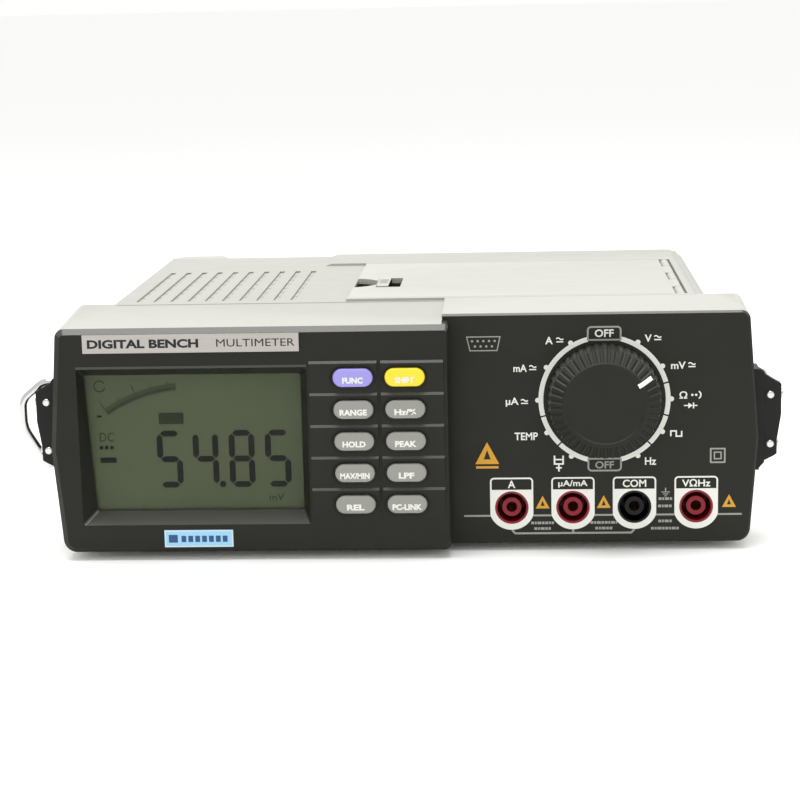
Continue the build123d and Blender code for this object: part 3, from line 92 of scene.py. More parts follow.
def mix_colour(tree, factor, first, second):
    """Mix two colours, or a socket and a colour, by a factor."""
    node = tree.nodes.new("ShaderNodeMix")
    node.data_type = "RGBA"
    tree.links.new(factor, node.inputs["Factor"])
    for socket, value in ((node.inputs[6], first), (node.inputs[7], second)):
        if isinstance(value, (tuple, list)):
            socket.default_value = (*value[:3], 1.0)
        else:
            tree.links.new(value, socket)
    return node.outputs[2]


def linear(colour):
    """Scene colour of an 8-bit display colour."""
    shares = [c / 255 for c in colour]
    return tuple(c / 12.92 if c <= 0.04045 else ((c + 0.055) / 1.055) ** 2.4 for c in shares)


def scaled(colour, factor):
    return tuple(min(c * factor, 1.0) for c in colour)


SPECKLE_DEPTH = 1.6       # the grain darkens by this many times the tone
WORN_BRIGHTNESS = 1.6
WORN_EDGE = (0.52, 0.62)  # pointiness where wear starts and where it is full
RELIEF_STRENGTH = 0.6


def surface(name, colour, rough=0.5, tone=0.06, spread=0.08, grain=2500.0, bump=0.02, cloud=25.0,
            metallic=0.0, specular=0.5, stretch=None, wear=0.0):
    """Material with cloudy tone, fine grain in colour and relief, uneven gloss and lighter worn edges."""
    material = bpy.data.materials.new(name)
    material.use_nodes = True
    tree = material.node_tree
    shader = tree.nodes["Principled BSDF"]
    base = linear(colour)
    cloudy = ramp_range(tree, noise(tree, cloud, 3.0), 0.0, 1.0)
    grainy = noise(tree, grain, 2.0, stretch)
    tone_socket = mix_colour(tree, cloudy, scaled(base, 1 - tone), scaled(base, 1 + tone))
    speckle = ramp_range(tree, grainy, 0.0, 1.0)
    colour_socket = mix_colour(tree, speckle, tone_socket, scaled(base, 1 - SPECKLE_DEPTH * tone))
    if wear > 0:
        edges = tree.nodes.new("ShaderNodeNewGeometry").outputs["Pointiness"]
        worn = ramp_range(tree, edges, 0.0, wear, *WORN_EDGE)
        colour_socket = mix_colour(tree, worn, colour_socket, scaled(base, WORN_BRIGHTNESS))
    tree.links.new(colour_socket, shader.inputs["Base Color"])
    rough_socket = ramp_range(tree, noise(tree, cloud * 3, 4.0), rough - spread, rough + spread)
    tree.links.new(rough_socket, shader.inputs["Roughness"])
    relief = tree.nodes.new("ShaderNodeBump")
    relief.inputs["Strength"].default_value = RELIEF_STRENGTH
    relief.inputs["Distance"].default_value = bump * MM
    tree.links.new(grainy, relief.inputs["Height"])
    tree.links.new(relief.outputs["Normal"], shader.inputs["Normal"])
    shader.inputs["Metallic"].default_value = metallic
    shader.inputs["Specular IOR Level"].default_value = specular
    return material


def window_material():
    """Clear acrylic with a faint haze."""
    material = surface("window_acrylic", (40, 42, 38), rough=0.12, spread=0.04, tone=0.05, grain=900.0,
                       bump=0.0005, cloud=18.0)
    material.node_tree.nodes["Principled BSDF"].inputs["Alpha"].default_value = 0.02
    return material


UP_RANGE = (0.2, 0.4)     # height of a normal where a face starts to count as looking up


def upward(tree):
    """How much a face looks up, from 0 to 1."""
    normal = tree.nodes.new("ShaderNodeNewGeometry").outputs["Normal"]
    split = tree.nodes.new("ShaderNodeSeparateXYZ")
    tree.links.new(normal, split.inputs[0])
    return ramp_range(tree, split.outputs["Z"], 0.0, 1.0, *UP_RANGE)


def mix_value(tree, factor, first, second):
    """Mix two numbers, or a socket and a number, by a factor."""
    node = tree.nodes.new("ShaderNodeMix")
    tree.links.new(factor, node.inputs[0])
    if isinstance(first, float):
        node.inputs[2].default_value = first
    else:
        tree.links.new(first, node.inputs[2])
    node.inputs[3].default_value = second
    return node.outputs[0]


def polish_and_paint_highlight_up(material, rough, specular, edge_specular, painted_highlight_colour):
    """Make the faces that look up smoother and glossier, and paint a highlight on them with a lighter colour.
    """
    tree = material.node_tree
    shader = tree.nodes["Principled BSDF"]
    up = upward(tree)
    matt = shader.inputs["Roughness"].links[0].from_socket
    tree.links.new(mix_value(tree, up, matt, rough), shader.inputs["Roughness"])
    tree.links.new(mix_value(tree, up, specular, edge_specular), shader.inputs["Specular IOR Level"])
    # Painted highlight: the colour of faces that look up is mixed towards a lighter tone, standing in for the
    # overhead light they reflect.
    plain = shader.inputs["Base Color"].links[0].from_socket
    tree.links.new(mix_colour(tree, up, plain, linear(painted_highlight_colour)), shader.inputs["Base Color"])
    return material


def panel_material():
    """Charcoal moulding with glossier bevels that carry a painted highlight."""
    matt = surface("panel_charcoal", (33, 33, 28), rough=0.45, tone=0.08, grain=2600.0, bump=0.02, wear=0.15)
    # Faces that look up get a painted highlight of this lighter colour.
    return polish_and_paint_highlight_up(matt, rough=0.26, specular=0.17, edge_specular=0.5, painted_highlight_colour=(56, 57, 50))


def knob_material():
    """Charcoal moulding, a little smoother than the panel, with a painted highlight on the faces that look
    up.
    """
    matt = surface("knob_charcoal", (33, 33, 29), rough=0.42, tone=0.08, grain=2200.0, bump=0.015, wear=0.12)
    # Faces that look up get a painted highlight of this lighter colour.
    return polish_and_paint_highlight_up(matt, rough=0.38, specular=0.18, edge_specular=0.34, painted_highlight_colour=(42, 42, 38))


def glass_tube_material():
    """Clear glass of a fuse's tube."""
    material = surface("fuse_glass_clear", (225, 232, 228), rough=0.06, spread=0.03, tone=0.02, grain=700.0,
                       bump=0.002)
    material.node_tree.nodes["Principled BSDF"].inputs["Transmission Weight"].default_value = 0.85
    return material


def board_material():
    """Green solder mask with copper tracks just showing through."""
    material = surface("board_mask", (18, 92, 52), rough=0.3, tone=0.1, grain=1800.0, bump=0.01)
    tree = material.node_tree
    shader = tree.nodes["Principled BSDF"]
    brick = tree.nodes.new("ShaderNodeTexBrick")
    brick.inputs["Scale"].default_value = 160.0
    brick.inputs["Mortar Size"].default_value = 0.06
    coords = tree.nodes.new("ShaderNodeTexCoord").outputs["Object"]
    turn = tree.nodes.new("ShaderNodeMapping")
    turn.inputs["Rotation"].default_value = (0.6, 0.3, 0.8)
    tree.links.new(coords, turn.inputs["Vector"])
    tree.links.new(turn.outputs["Vector"], brick.inputs["Vector"])
    plain = shader.inputs["Base Color"].links[0].from_socket
    tracked = mix_colour(tree, brick.outputs["Fac"], plain, linear((60, 140, 80)))
    tree.links.new(tracked, shader.inputs["Base Color"])
    return material


def winding_material():
    """Varnished copper wire laid in close turns."""
    material = surface("winding_wire", (150, 82, 40), rough=0.35, tone=0.15, grain=500.0, bump=0.1,
                       metallic=0.8)
    tree = material.node_tree
    wave = tree.nodes.new("ShaderNodeTexWave")
    wave.bands_direction = "Z"
    wave.inputs["Scale"].default_value = 500.0
    coords = tree.nodes.new("ShaderNodeTexCoord").outputs["Object"]
    tree.links.new(coords, wave.inputs["Vector"])
    bump = next(n for n in tree.nodes if n.type == "BUMP")
    tree.links.new(wave.outputs["Fac"], bump.inputs["Height"])
    return material


MATERIALS = {
    "case": surface("case_grey", (166, 166, 160), rough=0.5, tone=0.025, grain=1900.0, bump=0.03, wear=0.25),
    "lid": surface("lid_grey", (168, 168, 162), rough=0.48, tone=0.025, grain=1900.0, bump=0.03, wear=0.25),
    "panel": panel_material(),
    "rear": surface("rear_charcoal", (44, 44, 40), rough=0.5, tone=0.08, grain=2400.0, bump=0.02,
                    specular=0.4),
    "frame": surface("frame_black_plastic", (22, 22, 22), rough=0.5, tone=0.1, specular=0.4),
    "knob": knob_material(),
    "pointer": surface("pointer_ivory", (238, 238, 232), rough=0.35, tone=0.03, bump=0.01),
    "key_grey": surface("key_stone_grey", (142, 142, 136), rough=0.45, tone=0.05, bump=0.015, wear=0.3),
    "key_lavender": surface("key_lavender_plastic", (150, 144, 216), rough=0.45, tone=0.05, bump=0.015,
                            wear=0.2),
    "key_yellow": surface("key_yellow_plastic", (240, 214, 40), rough=0.45, tone=0.05, bump=0.015, wear=0.2),
    "window": window_material(),
    "lcd": surface("lcd_olive", (74, 82, 58), rough=0.35, tone=0.05, grain=3000.0, bump=0.003,
                   specular=0.2),
    "diffuser": surface("diffuser_milk", (226, 228, 220), rough=0.6, tone=0.03, bump=0.01),
    "board": board_material(),
    "steel": surface("steel_plated", (150, 150, 150), rough=0.32, tone=0.08, grain=1400.0, bump=0.01,
                     metallic=1.0, stretch=(1.0, 1.0, 12.0)),
    "chrome": surface("chrome_bright", (205, 205, 205), rough=0.12, spread=0.05, tone=0.05, grain=900.0,
                      bump=0.004, metallic=1.0),
    "brass": surface("brass_sprung", (196, 158, 84), rough=0.28, tone=0.08, grain=1200.0, bump=0.01,
                     metallic=1.0),
    "switch": surface("switch_ivory", (196, 192, 178), rough=0.5, tone=0.05, bump=0.02),
    "jack_red": surface("jack_crimson", (132, 10, 32), rough=0.3, tone=0.1, grain=1600.0, bump=0.01,
                        specular=0.3),
    "jack_black": surface("jack_jet", (9, 9, 9), rough=0.3, tone=0.1, grain=1600.0, bump=0.01,
                          specular=0.2),
    "inlet": surface("inlet_black_plastic", (24, 24, 24), rough=0.4, tone=0.1),
    "latch": surface("latch_black_plastic", (12, 12, 11), rough=0.85, tone=0.1, specular=0.05),
    # Black plastic, darkened to near-black as painted shade seen through the lid's notch and slot.
    "tray": surface("tray_black_painted_shade", (30, 30, 29), rough=0.7, tone=0.08, specular=0.2),
    "louvre": surface("louvre_grey", (166, 166, 160), rough=0.6, tone=0.04, grain=1500.0, bump=0.03),
    "cell": surface("cell_wrap", (84, 88, 104), rough=0.3, tone=0.1, grain=300.0, metallic=0.5),
    "core": surface("core_laminate", (96, 96, 98), rough=0.45, tone=0.12, grain=900.0, bump=0.06,
                    metallic=0.9, stretch=(1.0, 14.0, 1.0)),
    "winding": winding_material(),
    "fuse": glass_tube_material(),
    "rubber": surface("rubber_black", (26, 26, 26), rough=0.75, tone=0.12, grain=1500.0, bump=0.04,
                      specular=0.3),
    "lug": surface("lug_black_plastic", (13, 13, 12), rough=0.42, tone=0.1, bump=0.02, wear=0.1,
                   specular=0.25),
    "strip": surface("strip_brushed_film", (176, 171, 166), rough=0.38, tone=0.05, grain=700.0, bump=0.004,
                     stretch=(0.04, 1.0, 3.0), specular=0.4),
    "sticker": surface("sticker_blue_film", (150, 204, 234), rough=0.4, tone=0.03, bump=0.004),
    "ink": surface("ink_white", (226, 226, 219), rough=0.5, tone=0.05, grain=3500.0, bump=0.01, specular=0.3),
    "ink_dim": surface("ink_grey", (150, 150, 143), rough=0.5, tone=0.08, grain=3500.0, bump=0.01,
                       specular=0.3),
    "ink_dark": surface("ink_black", (26, 26, 30), rough=0.5, tone=0.1, grain=3500.0, bump=0.01,
                        specular=0.3),
    "ink_blue": surface("ink_deep_blue", (34, 74, 128), rough=0.5, tone=0.08, grain=3500.0, bump=0.01),
    "amber": surface("ink_amber", (206, 152, 44), rough=0.5, tone=0.08, grain=3500.0, bump=0.01,
                     specular=0.3),
    "segment": surface("lcd_segment", (8, 10, 3), rough=0.4, tone=0.1, grain=3000.0, bump=0.003,
                       specular=0.2),
    "segment_half": surface("lcd_segment_half", (34, 40, 22), rough=0.4, tone=0.1, grain=3000.0, bump=0.003,
                            specular=0.2),
    "segment_dim": surface("lcd_segment_dim", (44, 50, 32), rough=0.4, tone=0.1, grain=3000.0, bump=0.003,
                           specular=0.2),
    "backdrop": surface("backdrop_white", (250, 250, 249), rough=0.8, tone=0.004, grain=300.0, bump=0.0,
                        specular=0.1),
}

NODE_MATERIALS = {
    "case": ["top_cover", "bottom_cover", "rear_bumpers"],
    "lid": ["hatch_lid"],
    "panel": ["front_panel"],
    "rear": ["rear_panel"],
    "frame": ["lcd_frame", "keypad_guide", "tact_switches", "detent_ring"],
    "knob": ["knob"],
    "pointer": ["knob_pointer"],
    "key_grey": [key for key in KEYS if not key.endswith("1")],
    "key_lavender": ["key_a1"],
    "key_yellow": ["key_b1"],
    "window": ["display_window"],
    "lcd": ["lcd_glass"],
    "diffuser": ["backlight"],
    "board": ["display_board", "switch_board", "main_board"],
    "steel": ["board_screws", "case_screws", "mains_pins", "serial_shell", "hatch_pin", "battery_contacts"],
    "chrome": ["lug_screws", "ring_left", "ring_right"],
    "brass": ["wiper_contacts", "jack_contacts", "fuse_clips"],
    "switch": ["switch_shaft", "switch_rotor"],
    "jack_red": ["jack_red_shells", "jack_red_posts"],
    "jack_black": ["jack_black_shell", "jack_black_post"],
    "inlet": ["mains_inlet", "serial_insert"],
    "latch": ["hatch_latch"],
    "tray": ["battery_tray"],
    "cell": ["battery_cells", "capacitors"],
    "core": ["transformer_core"],
    "winding": ["transformer_winding"],
    "fuse": ["fuses"],
    "rubber": ["feet"],
    "lug": ["lug_bases", "lug_caps"],
    "strip": ["name_strip"],
    "sticker": ["sticker"],
}


def paint_nodes():
    """Give every CAD node its material."""
    for key, names in NODE_MATERIALS.items():
        for name in names:
            mesh = frame["nodes"][name].data
            if not mesh.materials:
                mesh.materials.append(None)
            for index in range(len(mesh.materials)):
                mesh.materials[index] = MATERIALS[key]


# ---------------------------------------------------------------- flat print

def rect(x0, x1, z0, z1):
    return [(x0, z0), (x1, z0), (x1, z1), (x0, z1)]


def rounded_rect(x0, x1, z0, z1, radii, steps=6):
    """Rectangle with its own radius at each corner, from the lower left, anticlockwise."""
    corners = [(x0, z0, 180), (x1, z0, 270), (x1, z1, 0), (x0, z1, 90)]
    points = []
    for (x, z, start), radius in zip(corners, radii):
        cx = x + radius if x == x0 else x - radius
        cz = z + radius if z == z0 else z - radius
        for i in range(steps + 1):
            angle = math.radians(start + 90 * i / steps)
            points.append((cx + radius * math.cos(angle), cz + radius * math.sin(angle)))
    return points


def loop_band(outer, inner, closed=True):
    """Quads between two lines of points."""
    count = len(outer)
    last = count if closed else count - 1
    return [[outer[i], outer[(i + 1) % count], inner[(i + 1) % count], inner[i]] for i in range(last)]


def outline(x0, x1, z0, z1, radii, width):
    """Rounded rectangle drawn as a line."""
    outer = rounded_rect(x0, x1, z0, z1, radii)
    inner_radii = [max(radius - width, 0.05) for radius in radii]
    inner = rounded_rect(x0 + width, x1 - width, z0 + width, z1 - width, inner_radii)
    return loop_band(outer, inner)


def arc(cx, cz, r0, r1, a0, a1, steps=40):
    """Part of a ring, between two angles in degrees."""
    angles = [math.radians(a0 + (a1 - a0) * i / steps) for i in range(steps + 1)]
    outer = [(cx + r1 * math.cos(a), cz + r1 * math.sin(a)) for a in angles]
    inner = [(cx + r0 * math.cos(a), cz + r0 * math.sin(a)) for a in angles]
    return loop_band(outer, inner, closed=False)


def disc(cx, cz, radius, steps=20):
    angles = [2 * math.pi * i / steps for i in range(steps)]
    return [(cx + radius * math.cos(a), cz + radius * math.sin(a)) for a in angles]


def stroke(points, width):
    """Line of constant width through points, with mitred corners; it closes if it ends where it starts."""
    closed = points[0] == points[-1]
    places = points[:-1] if closed else points
    count = len(places)
    left, right = [], []
    for i, (x, z) in enumerate(places):
        before = places[i - 1] if closed or i > 0 else None
        after = places[(i + 1) % count] if closed or i < count - 1 else None
        normals = []
        for (xa, za), (xb, zb) in ((before or (x, z), (x, z)), ((x, z), after or (x, z))):
            length = math.hypot(xb - xa, zb - za)
            if length > 0:
                normals.append((-(zb - za) / length, (xb - xa) / length))
        nx, nz = sum(n[0] for n in normals), sum(n[1] for n in normals)
        scale = width / 2 * len(normals) / (nx * nx + nz * nz)
        left.append((x + nx * scale, z + nz * scale))
        right.append((x - nx * scale, z - nz * scale))
    return loop_band(left, right, closed)


def add_piece(name, mesh, material, body="chassis"):
    """Object with one material that rides on a body."""
    mesh.materials.clear()
    mesh.materials.append(MATERIALS[material])
    piece = bpy.data.objects.new(name, mesh)
    bpy.context.scene.collection.objects.link(piece)
    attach(piece, body)


def flat_piece(name, polygons, y, ink, thick=0.02):
    """Thin printed piece that faces -Y, from polygons drawn in X and Z."""
    mesh = bpy.data.meshes.new(name)
    work = bmesh.new()
    for polygon in polygons:
        turned = sum(a[0] * b[1] - b[0] * a[1] for a, b in zip(polygon, polygon[1:] + polygon[:1]))
        ordered = polygon if turned > 0 else polygon[::-1]
        corners = [work.verts.new(Vector((x, y, z)) * MM) for x, z in ordered]
        work.faces.new(corners)
    bmesh.ops.remove_doubles(work, verts=work.verts, dist=1e-7)
    shell = bmesh.ops.extrude_face_region(work, geom=work.faces[:])
    moved = [v for v in shell["geom"] if isinstance(v, bmesh.types.BMVert)]
    bmesh.ops.translate(work, verts=moved, vec=Vector((0, -thick * MM, 0)))
    bmesh.ops.recalc_face_normals(work, faces=work.faces)
    work.to_mesh(mesh)
    work.free()
    add_piece(name, mesh, ink)


def lettering(name, words, x, z, width, height, y, ink, body="chassis", weight=0.0):
    """Word centred at x, z, scaled to a width and a height."""
    curve = bpy.data.curves.new(name + "_curve", "FONT")
    curve.body = words
    curve.offset = weight
    curve.extrude = 0.0
    curve.resolution_u = 3
    made = bpy.data.objects.new(name + "_curve", curve)
    bpy.context.scene.collection.objects.link(made)
    bpy.context.view_layer.update()
    mesh = bpy.data.meshes.new_from_object(made)
    bpy.data.objects.remove(made)
    mesh.name = name
    xs = [v.co.x for v in mesh.vertices]
    ys = [v.co.y for v in mesh.vertices]
    span_x, span_y = max(xs) - min(xs), max(ys) - min(ys)
    for vertex in mesh.vertices:
        px = (vertex.co.x - min(xs)) / span_x - 0.5
        pz = (vertex.co.y - min(ys)) / span_y - 0.5
        vertex.co = Vector((x + px * width, y, z + pz * height)) * MM
    add_piece(name, mesh, ink, body)


# ---------------------------------------------------------------- range scale

RING_R0 = 22.7
RING_R1 = 24.5
RING_GAP = 0.7            # half of a gap in the ring, in degrees
RING_GAPS_LEFT = [195, 225]
RING_GAPS_RIGHT = [315, 345, 375]
TICK_R = 24.8
TICK_SIZE = 0.95
TICK_STEP = 30            # degrees between the knob's places
OFF_PLACES = (3, 9)
OFF_HALF = 6.4
OFF_TOP = (22.2, 27.7)
OFF_BOTTOM = (-27.4, -22.2)
OFF_LINE = 0.65
OFF_R_IN = 0.6            # box corners beside the knob
OFF_R_OUT = 1.6


def off_box(name, span, radii):
    """Outlined box for an end place of the knob."""
    low, high = span
    line = outline(KNOB_X - OFF_HALF, KNOB_X + OFF_HALF, KNOB_Z + low, KNOB_Z + high, radii, OFF_LINE)
    flat_piece(name, line, PRINT_Y, "ink_dim")


def range_scale():
    """White ring round the knob with its gaps, ticks and two boxes."""
    box_gap = math.degrees(math.asin(OFF_HALF / RING_R1))
    left_run = [90 + box_gap] + RING_GAPS_LEFT + [270 - box_gap]
    right_run = [270 + box_gap] + RING_GAPS_RIGHT + [450 - box_gap]
    polygons = []
    for run in (left_run, right_run):
        for start, stop in zip(run, run[1:]):
            a0 = start + (RING_GAP if start != run[0] else 0)
            a1 = stop - (RING_GAP if stop != run[-1] else 0)
            polygons += arc(KNOB_X, KNOB_Z, RING_R0, RING_R1, a0, a1)
    flat_piece("scale_ring", polygons, PRINT_Y, "ink")
    angles = [math.radians(TICK_STEP * place) for place in range(12) if place not in OFF_PLACES]
    ticks = [disc(KNOB_X + TICK_R * math.cos(a), KNOB_Z + TICK_R * math.sin(a), TICK_SIZE) for a in angles]
    flat_piece("scale_ticks", ticks, OVER_Y, "ink")
    off_box("off_box_top", OFF_TOP, [OFF_R_IN, OFF_R_IN, OFF_R_OUT, OFF_R_OUT])
    off_box("off_box_bottom", OFF_BOTTOM, [OFF_R_OUT, OFF_R_OUT, OFF_R_IN, OFF_R_IN])


SCALE_WORDS = [
    # name, words, dx, dz, width, height
    ("off_top", "OFF", 0.0, 25.0, 7.0, 2.9),
    ("off_bottom", "OFF", 0.0, -24.9, 7.0, 2.8),
    ("amp", "A", -20.4, 22.5, 2.8, 2.8),
    ("volt", "V", 16.2, 22.9, 2.6, 2.8),
    ("millivolt", "mV", 27.3, 12.6, 5.4, 2.8),
    ("ohm", "Ω", 29.2, 1.4, 2.9, 2.8),
    ("hertz", "Hz", 17.1, -23.6, 4.2, 2.9),
    ("temperature", "TEMP", -29.2, -13.7, 8.7, 2.9),
    ("microamp", "µA", -34.3, -0.6, 4.8, 3.4),
    ("milliamp", "mA", -31.2, 12.2, 5.0, 2.8),
]
AC_MARKS = [(-16.4, 22.5), (19.7, 22.9), (32.3, 12.6), (-29.7, -0.6), (-26.5, 12.2)]
SOUND_AT = (33.9, 1.4)
DIODE_AT = (31.9, -2.6)
SQUARE_WAVE_AT = (26.6, -13.2)
PROBE_AT = (-17.1, -23.4)


def ac_mark(x, z):
    """Small wave over a short bar."""
    wave = [(x - 1.3 + 2.6 * i / 12, z + 0.6 + 0.35 * math.sin(2 * math.pi * i / 12)) for i in range(13)]
    return stroke(wave, 0.45) + [rect(x - 1.3, x + 1.3, z - 0.75, z - 0.3)]


def sound_mark(x, z):
    """Two dots and a wave front."""
    return [disc(x - 1.4, z, 0.45), disc(x, z, 0.45)] + arc(x + 0.2, z, 1.3, 1.8, -60, 60, 10)


def diode_mark(x, z):
    """Arrow head against a bar, with a lead each side."""
    leads = [rect(x - 2.5, x - 0.9, z - 0.22, z + 0.22), rect(x + 1.3, x + 2.5, z - 0.22, z + 0.22)]
    head = [(x - 0.9, z - 1.1), (x + 0.8, z), (x - 0.9, z + 1.1)]
    return leads + [head, rect(x + 0.8, x + 1.3, z - 1.1, z + 1.1)]


def square_wave(x, z):
    half, rise = 2.0, 1.0
    points = [(x - half, z - rise), (x - half, z + rise), (x, z + rise), (x, z - rise),
              (x + half, z - rise), (x + half, z + rise)]
    return stroke(points, 0.55)


def probe_mark(x, z):
    """Cup with its fill line, on a stem."""
    cup = [(x - 1.6, z + 2.2), (x - 1.6, z - 1.0), (x + 1.6, z - 1.0), (x + 1.6, z + 2.2)]
    return stroke(cup, 0.6) + [rect(x - 1.25, x + 1.25, z + 0.4, z + 0.95),
                               rect(x - 0.3, x + 0.3, z - 3.9, z - 1.35)]


def scale_words():
    """Unit symbols round the knob."""
    for name, words, dx, dz, width, height in SCALE_WORDS:
        # The lower OFF takes the grey ink as a painted shadow, where the knob shades the print below it.
        ink = "ink_dim" if name == "off_bottom" else "ink"
        lettering("mark_" + name, words, KNOB_X + dx, KNOB_Z + dz, width, height, PRINT_Y, ink, weight=0.02)
    signs = [(ac_mark, place) for place in AC_MARKS]
    signs += [(sound_mark, SOUND_AT), (diode_mark, DIODE_AT), (square_wave, SQUARE_WAVE_AT),
              (probe_mark, PROBE_AT)]
    polygons = []
    for draw, (dx, dz) in signs:
        polygons += draw(KNOB_X + dx, KNOB_Z + dz)
    flat_piece("scale_symbols", polygons, PRINT_Y, "ink")
    x, z = KNOB_X + PROBE_AT[0], KNOB_Z + PROBE_AT[1]
    flat_piece("scale_symbol_bar", [rect(x - 1.1, x + 1.1, z - 2.75, z - 2.2)], OVER_Y, "ink")


# ---------------------------------------------------------------- jack print

TAG_HALF = 8.1
TAG_TOP = 11.6            # above the jack's centre
TAG_BOX = 6.9
TAG_BOTTOM = 8.6
TAG_LINE = 0.6
TAG_STEPS = 72
JACK_HOLE = 6.3
RULE_X0 = 22.0
RULE_RUN_OUT = 17.0       # the last rule ends this far beyond its jack
RULE_Z = -3.1
RULE_HALF = 0.35
BRACKET_Z = -10.0
BRACKET_LINE = 0.75
BRACKET_BEND = 1.2
EARTH_AT = (11.6, 5.6)    # from the third jack's centre
TITLE_Z = 9.0
AMBER_X = (11.6, 34.5, 81.2)      # small triangles, from the first jack
AMBER_SMALL = (5.2, 4.9)
AMBER_LARGE_AT = (31.0, 33.6)
AMBER_LARGE = (9.0, 8.4)
DASHES = (1.1, 0.7, 1.5, 0.9)
DASH_GAP = 0.28
DASH_HALF = 0.5
JACK_WORDS = {
    # jack: words, width
    "jack_a": ("A", 2.8), "jack_ma": ("µA/mA", 11.0), "jack_com": ("COM", 8.8), "jack_v": ("VΩHz", 10.6),
}


def tag(x, z):
    """White tag round a jack."""
    outer, inner = [], []
    for i in range(TAG_STEPS):
        angle = 2 * math.pi * i / TAG_STEPS
        c, s = math.cos(angle), math.sin(angle)
        reach = TAG_BOTTOM if s < 0 else math.inf
        if abs(c) > 1e-6:
            reach = min(reach, TAG_HALF / abs(c))
        if s > 1e-6:
            reach = min(reach, TAG_BOX / s)
        outer.append((x + reach * c, z + reach * s))
        inner.append((x + JACK_HOLE * c, z + JACK_HOLE * s))
    return loop_band(outer, inner)


def title_box(x, z):
    """Outlined box for a title, on top of a tag."""
    z0, z1 = z + TAG_BOX - TAG_LINE, z + TAG_TOP
    return outline(x - TAG_HALF, x + TAG_HALF, z0, z1, [0.05, 0.05, 1.5, 1.5], TAG_LINE)


def triangle(x, z, width, height):
    """Plain triangle on its base."""
    return [(x - width / 2, z), (x + width / 2, z), (x, z + height)]


def small_lines():
    """Short rows of dashes where fine print would be."""
    rows = [(11.5, -6.0, 8.6), (11.5, -8.2, 6.2), (34.5, -6.0, 10.0), (34.5, -8.2, 6.4),
            (57.5, -5.6, 5.2), (57.5, -8.4, 10.6), (57.6, 3.0, 5.2), (57.6, 0.2, 5.6)]
    x0 = JACKS["jack_a"][0]
    polygons = []
    for dx, dz, width in rows:
        cursor = x0 + dx - width / 2
        row_end = x0 + dx + width / 2
        index = 0
        while cursor < row_end - 0.3:
            stop = min(cursor + DASHES[index % len(DASHES)], row_end)
            polygons.append(rect(cursor, stop, JACK_Z + dz - DASH_HALF, JACK_Z + dz + DASH_HALF))
            cursor = stop + DASH_GAP
            index += 1
    return polygons


def jack_rules(places):
    """Rule between the tags, bracket under the first three and an earth sign."""
    inset = TAG_HALF - 0.1
    edges = [RULE_X0] + [x + side * inset for x, _, _ in places for side in (-1, 1)]
    edges.append(places[-1][0] + RULE_RUN_OUT)
    z = JACK_Z + RULE_Z
    rules = [rect(start, stop, z - RULE_HALF, z + RULE_HALF) for start, stop in zip(edges[0::2], edges[1::2])]
    first, middle, third = (place[0] for place in places[:3])
    low, high = JACK_Z + BRACKET_Z, JACK_Z - TAG_BOTTOM - 0.1
    bend = [(first, high), (first + BRACKET_BEND, low), (third - BRACKET_BEND, low), (third, high)]
    rules += stroke(bend, BRACKET_LINE)
    rules.append(rect(middle - 0.38, middle + 0.38, low + 0.4, high))
    x, z = third + EARTH_AT[0], JACK_Z + EARTH_AT[1]
    rules.append(rect(x - 0.22, x + 0.22, z + 0.2, z + 1.6))
    for i, half in enumerate((1.6, 1.0, 0.45)):
        rules.append(rect(x - half, x + half, z - 0.2 - 0.75 * i, z + 0.15 - 0.75 * i))
    return rules


def amber_triangles():
    """Plain triangles by the jacks and one large one on a bar, all without a sign."""
    x0 = JACKS["jack_a"][0]
    x, z = AMBER_LARGE_AT
    amber = [triangle(x0 + dx, JACK_Z - 0.4, *AMBER_SMALL) for dx in AMBER_X]
    amber.append(triangle(x, z, *AMBER_LARGE))
    amber.append(rect(x - 4.2, x + 4.2, z - 1.7, z - 0.8))
    flat_piece("amber_triangles", amber, PRINT_Y, "amber")
    centres = [triangle(x0 + dx, JACK_Z + 0.6, 1.5, 2.0) for dx in AMBER_X]
    centres.append(triangle(x, z + 1.8, 2.6, 3.6))
    flat_piece("amber_triangle_centres", centres, CENTRE_Y, "ink_dark")


def jack_print():
    """Tags, rules and titles of the jack row."""
    places = sorted(JACKS.values())
    tags, boxes = [], []
    for x, _, z in places:
        tags += tag(x, z)
        boxes += title_box(x, z)
    flat_piece("jack_tags", tags, PRINT_Y, "ink")
    flat_piece("jack_boxes", boxes, OVER_Y, "ink")
    flat_piece("jack_rules", jack_rules(places), PRINT_Y, "ink_dim")
    flat_piece("jack_fine_lines", small_lines(), PRINT_Y, "ink_dim")
    for name, (words, width) in JACK_WORDS.items():
        x, _, z = JACKS[name]
        lettering("title_" + name, words, x, z + TITLE_Z, width, 2.9, PRINT_Y, "ink", weight=0.02)
    amber_triangles()


SQUARES_AT = (42.0, -21.7)        # from the knob's centre
PORT_AT = (30.2, 79.4)
PORT_TOP_HALF = 6.2
PORT_BOTTOM_HALF = 5.0
PORT_HALF_H = 2.6
PIN_PITCH = 2.1
PIN_R = 0.45


def plain_marks():
    """Double square on the right, and a port outline with its pin dots on the left."""
    x, z = KNOB_X + SQUARES_AT[0], KNOB_Z + SQUARES_AT[1]
    polygons = outline(x - 2.9, x + 2.9, z - 2.9, z + 2.9, [0.3] * 4, 0.6)
    polygons += outline(x - 1.5, x + 1.5, z - 1.5, z + 1.5, [0.2] * 4, 0.5)
    x, z = PORT_AT
    top, bottom = z + PORT_HALF_H, z - PORT_HALF_H
    polygons += stroke([(x - PORT_TOP_HALF, top), (x + PORT_TOP_HALF, top), (x + PORT_BOTTOM_HALF, bottom),
                        (x - PORT_BOTTOM_HALF, bottom), (x - PORT_TOP_HALF, top)], 0.4)
    polygons += [disc(x + PIN_PITCH * (i - 2), z + 1.0, PIN_R, 12) for i in range(5)]
    polygons += [disc(x + PIN_PITCH * (i - 1.5), z - 1.0, PIN_R, 12) for i in range(4)]
    flat_piece("plain_symbols", polygons, PRINT_Y, "ink_dim")


# ---------------------------------------------------------------- display

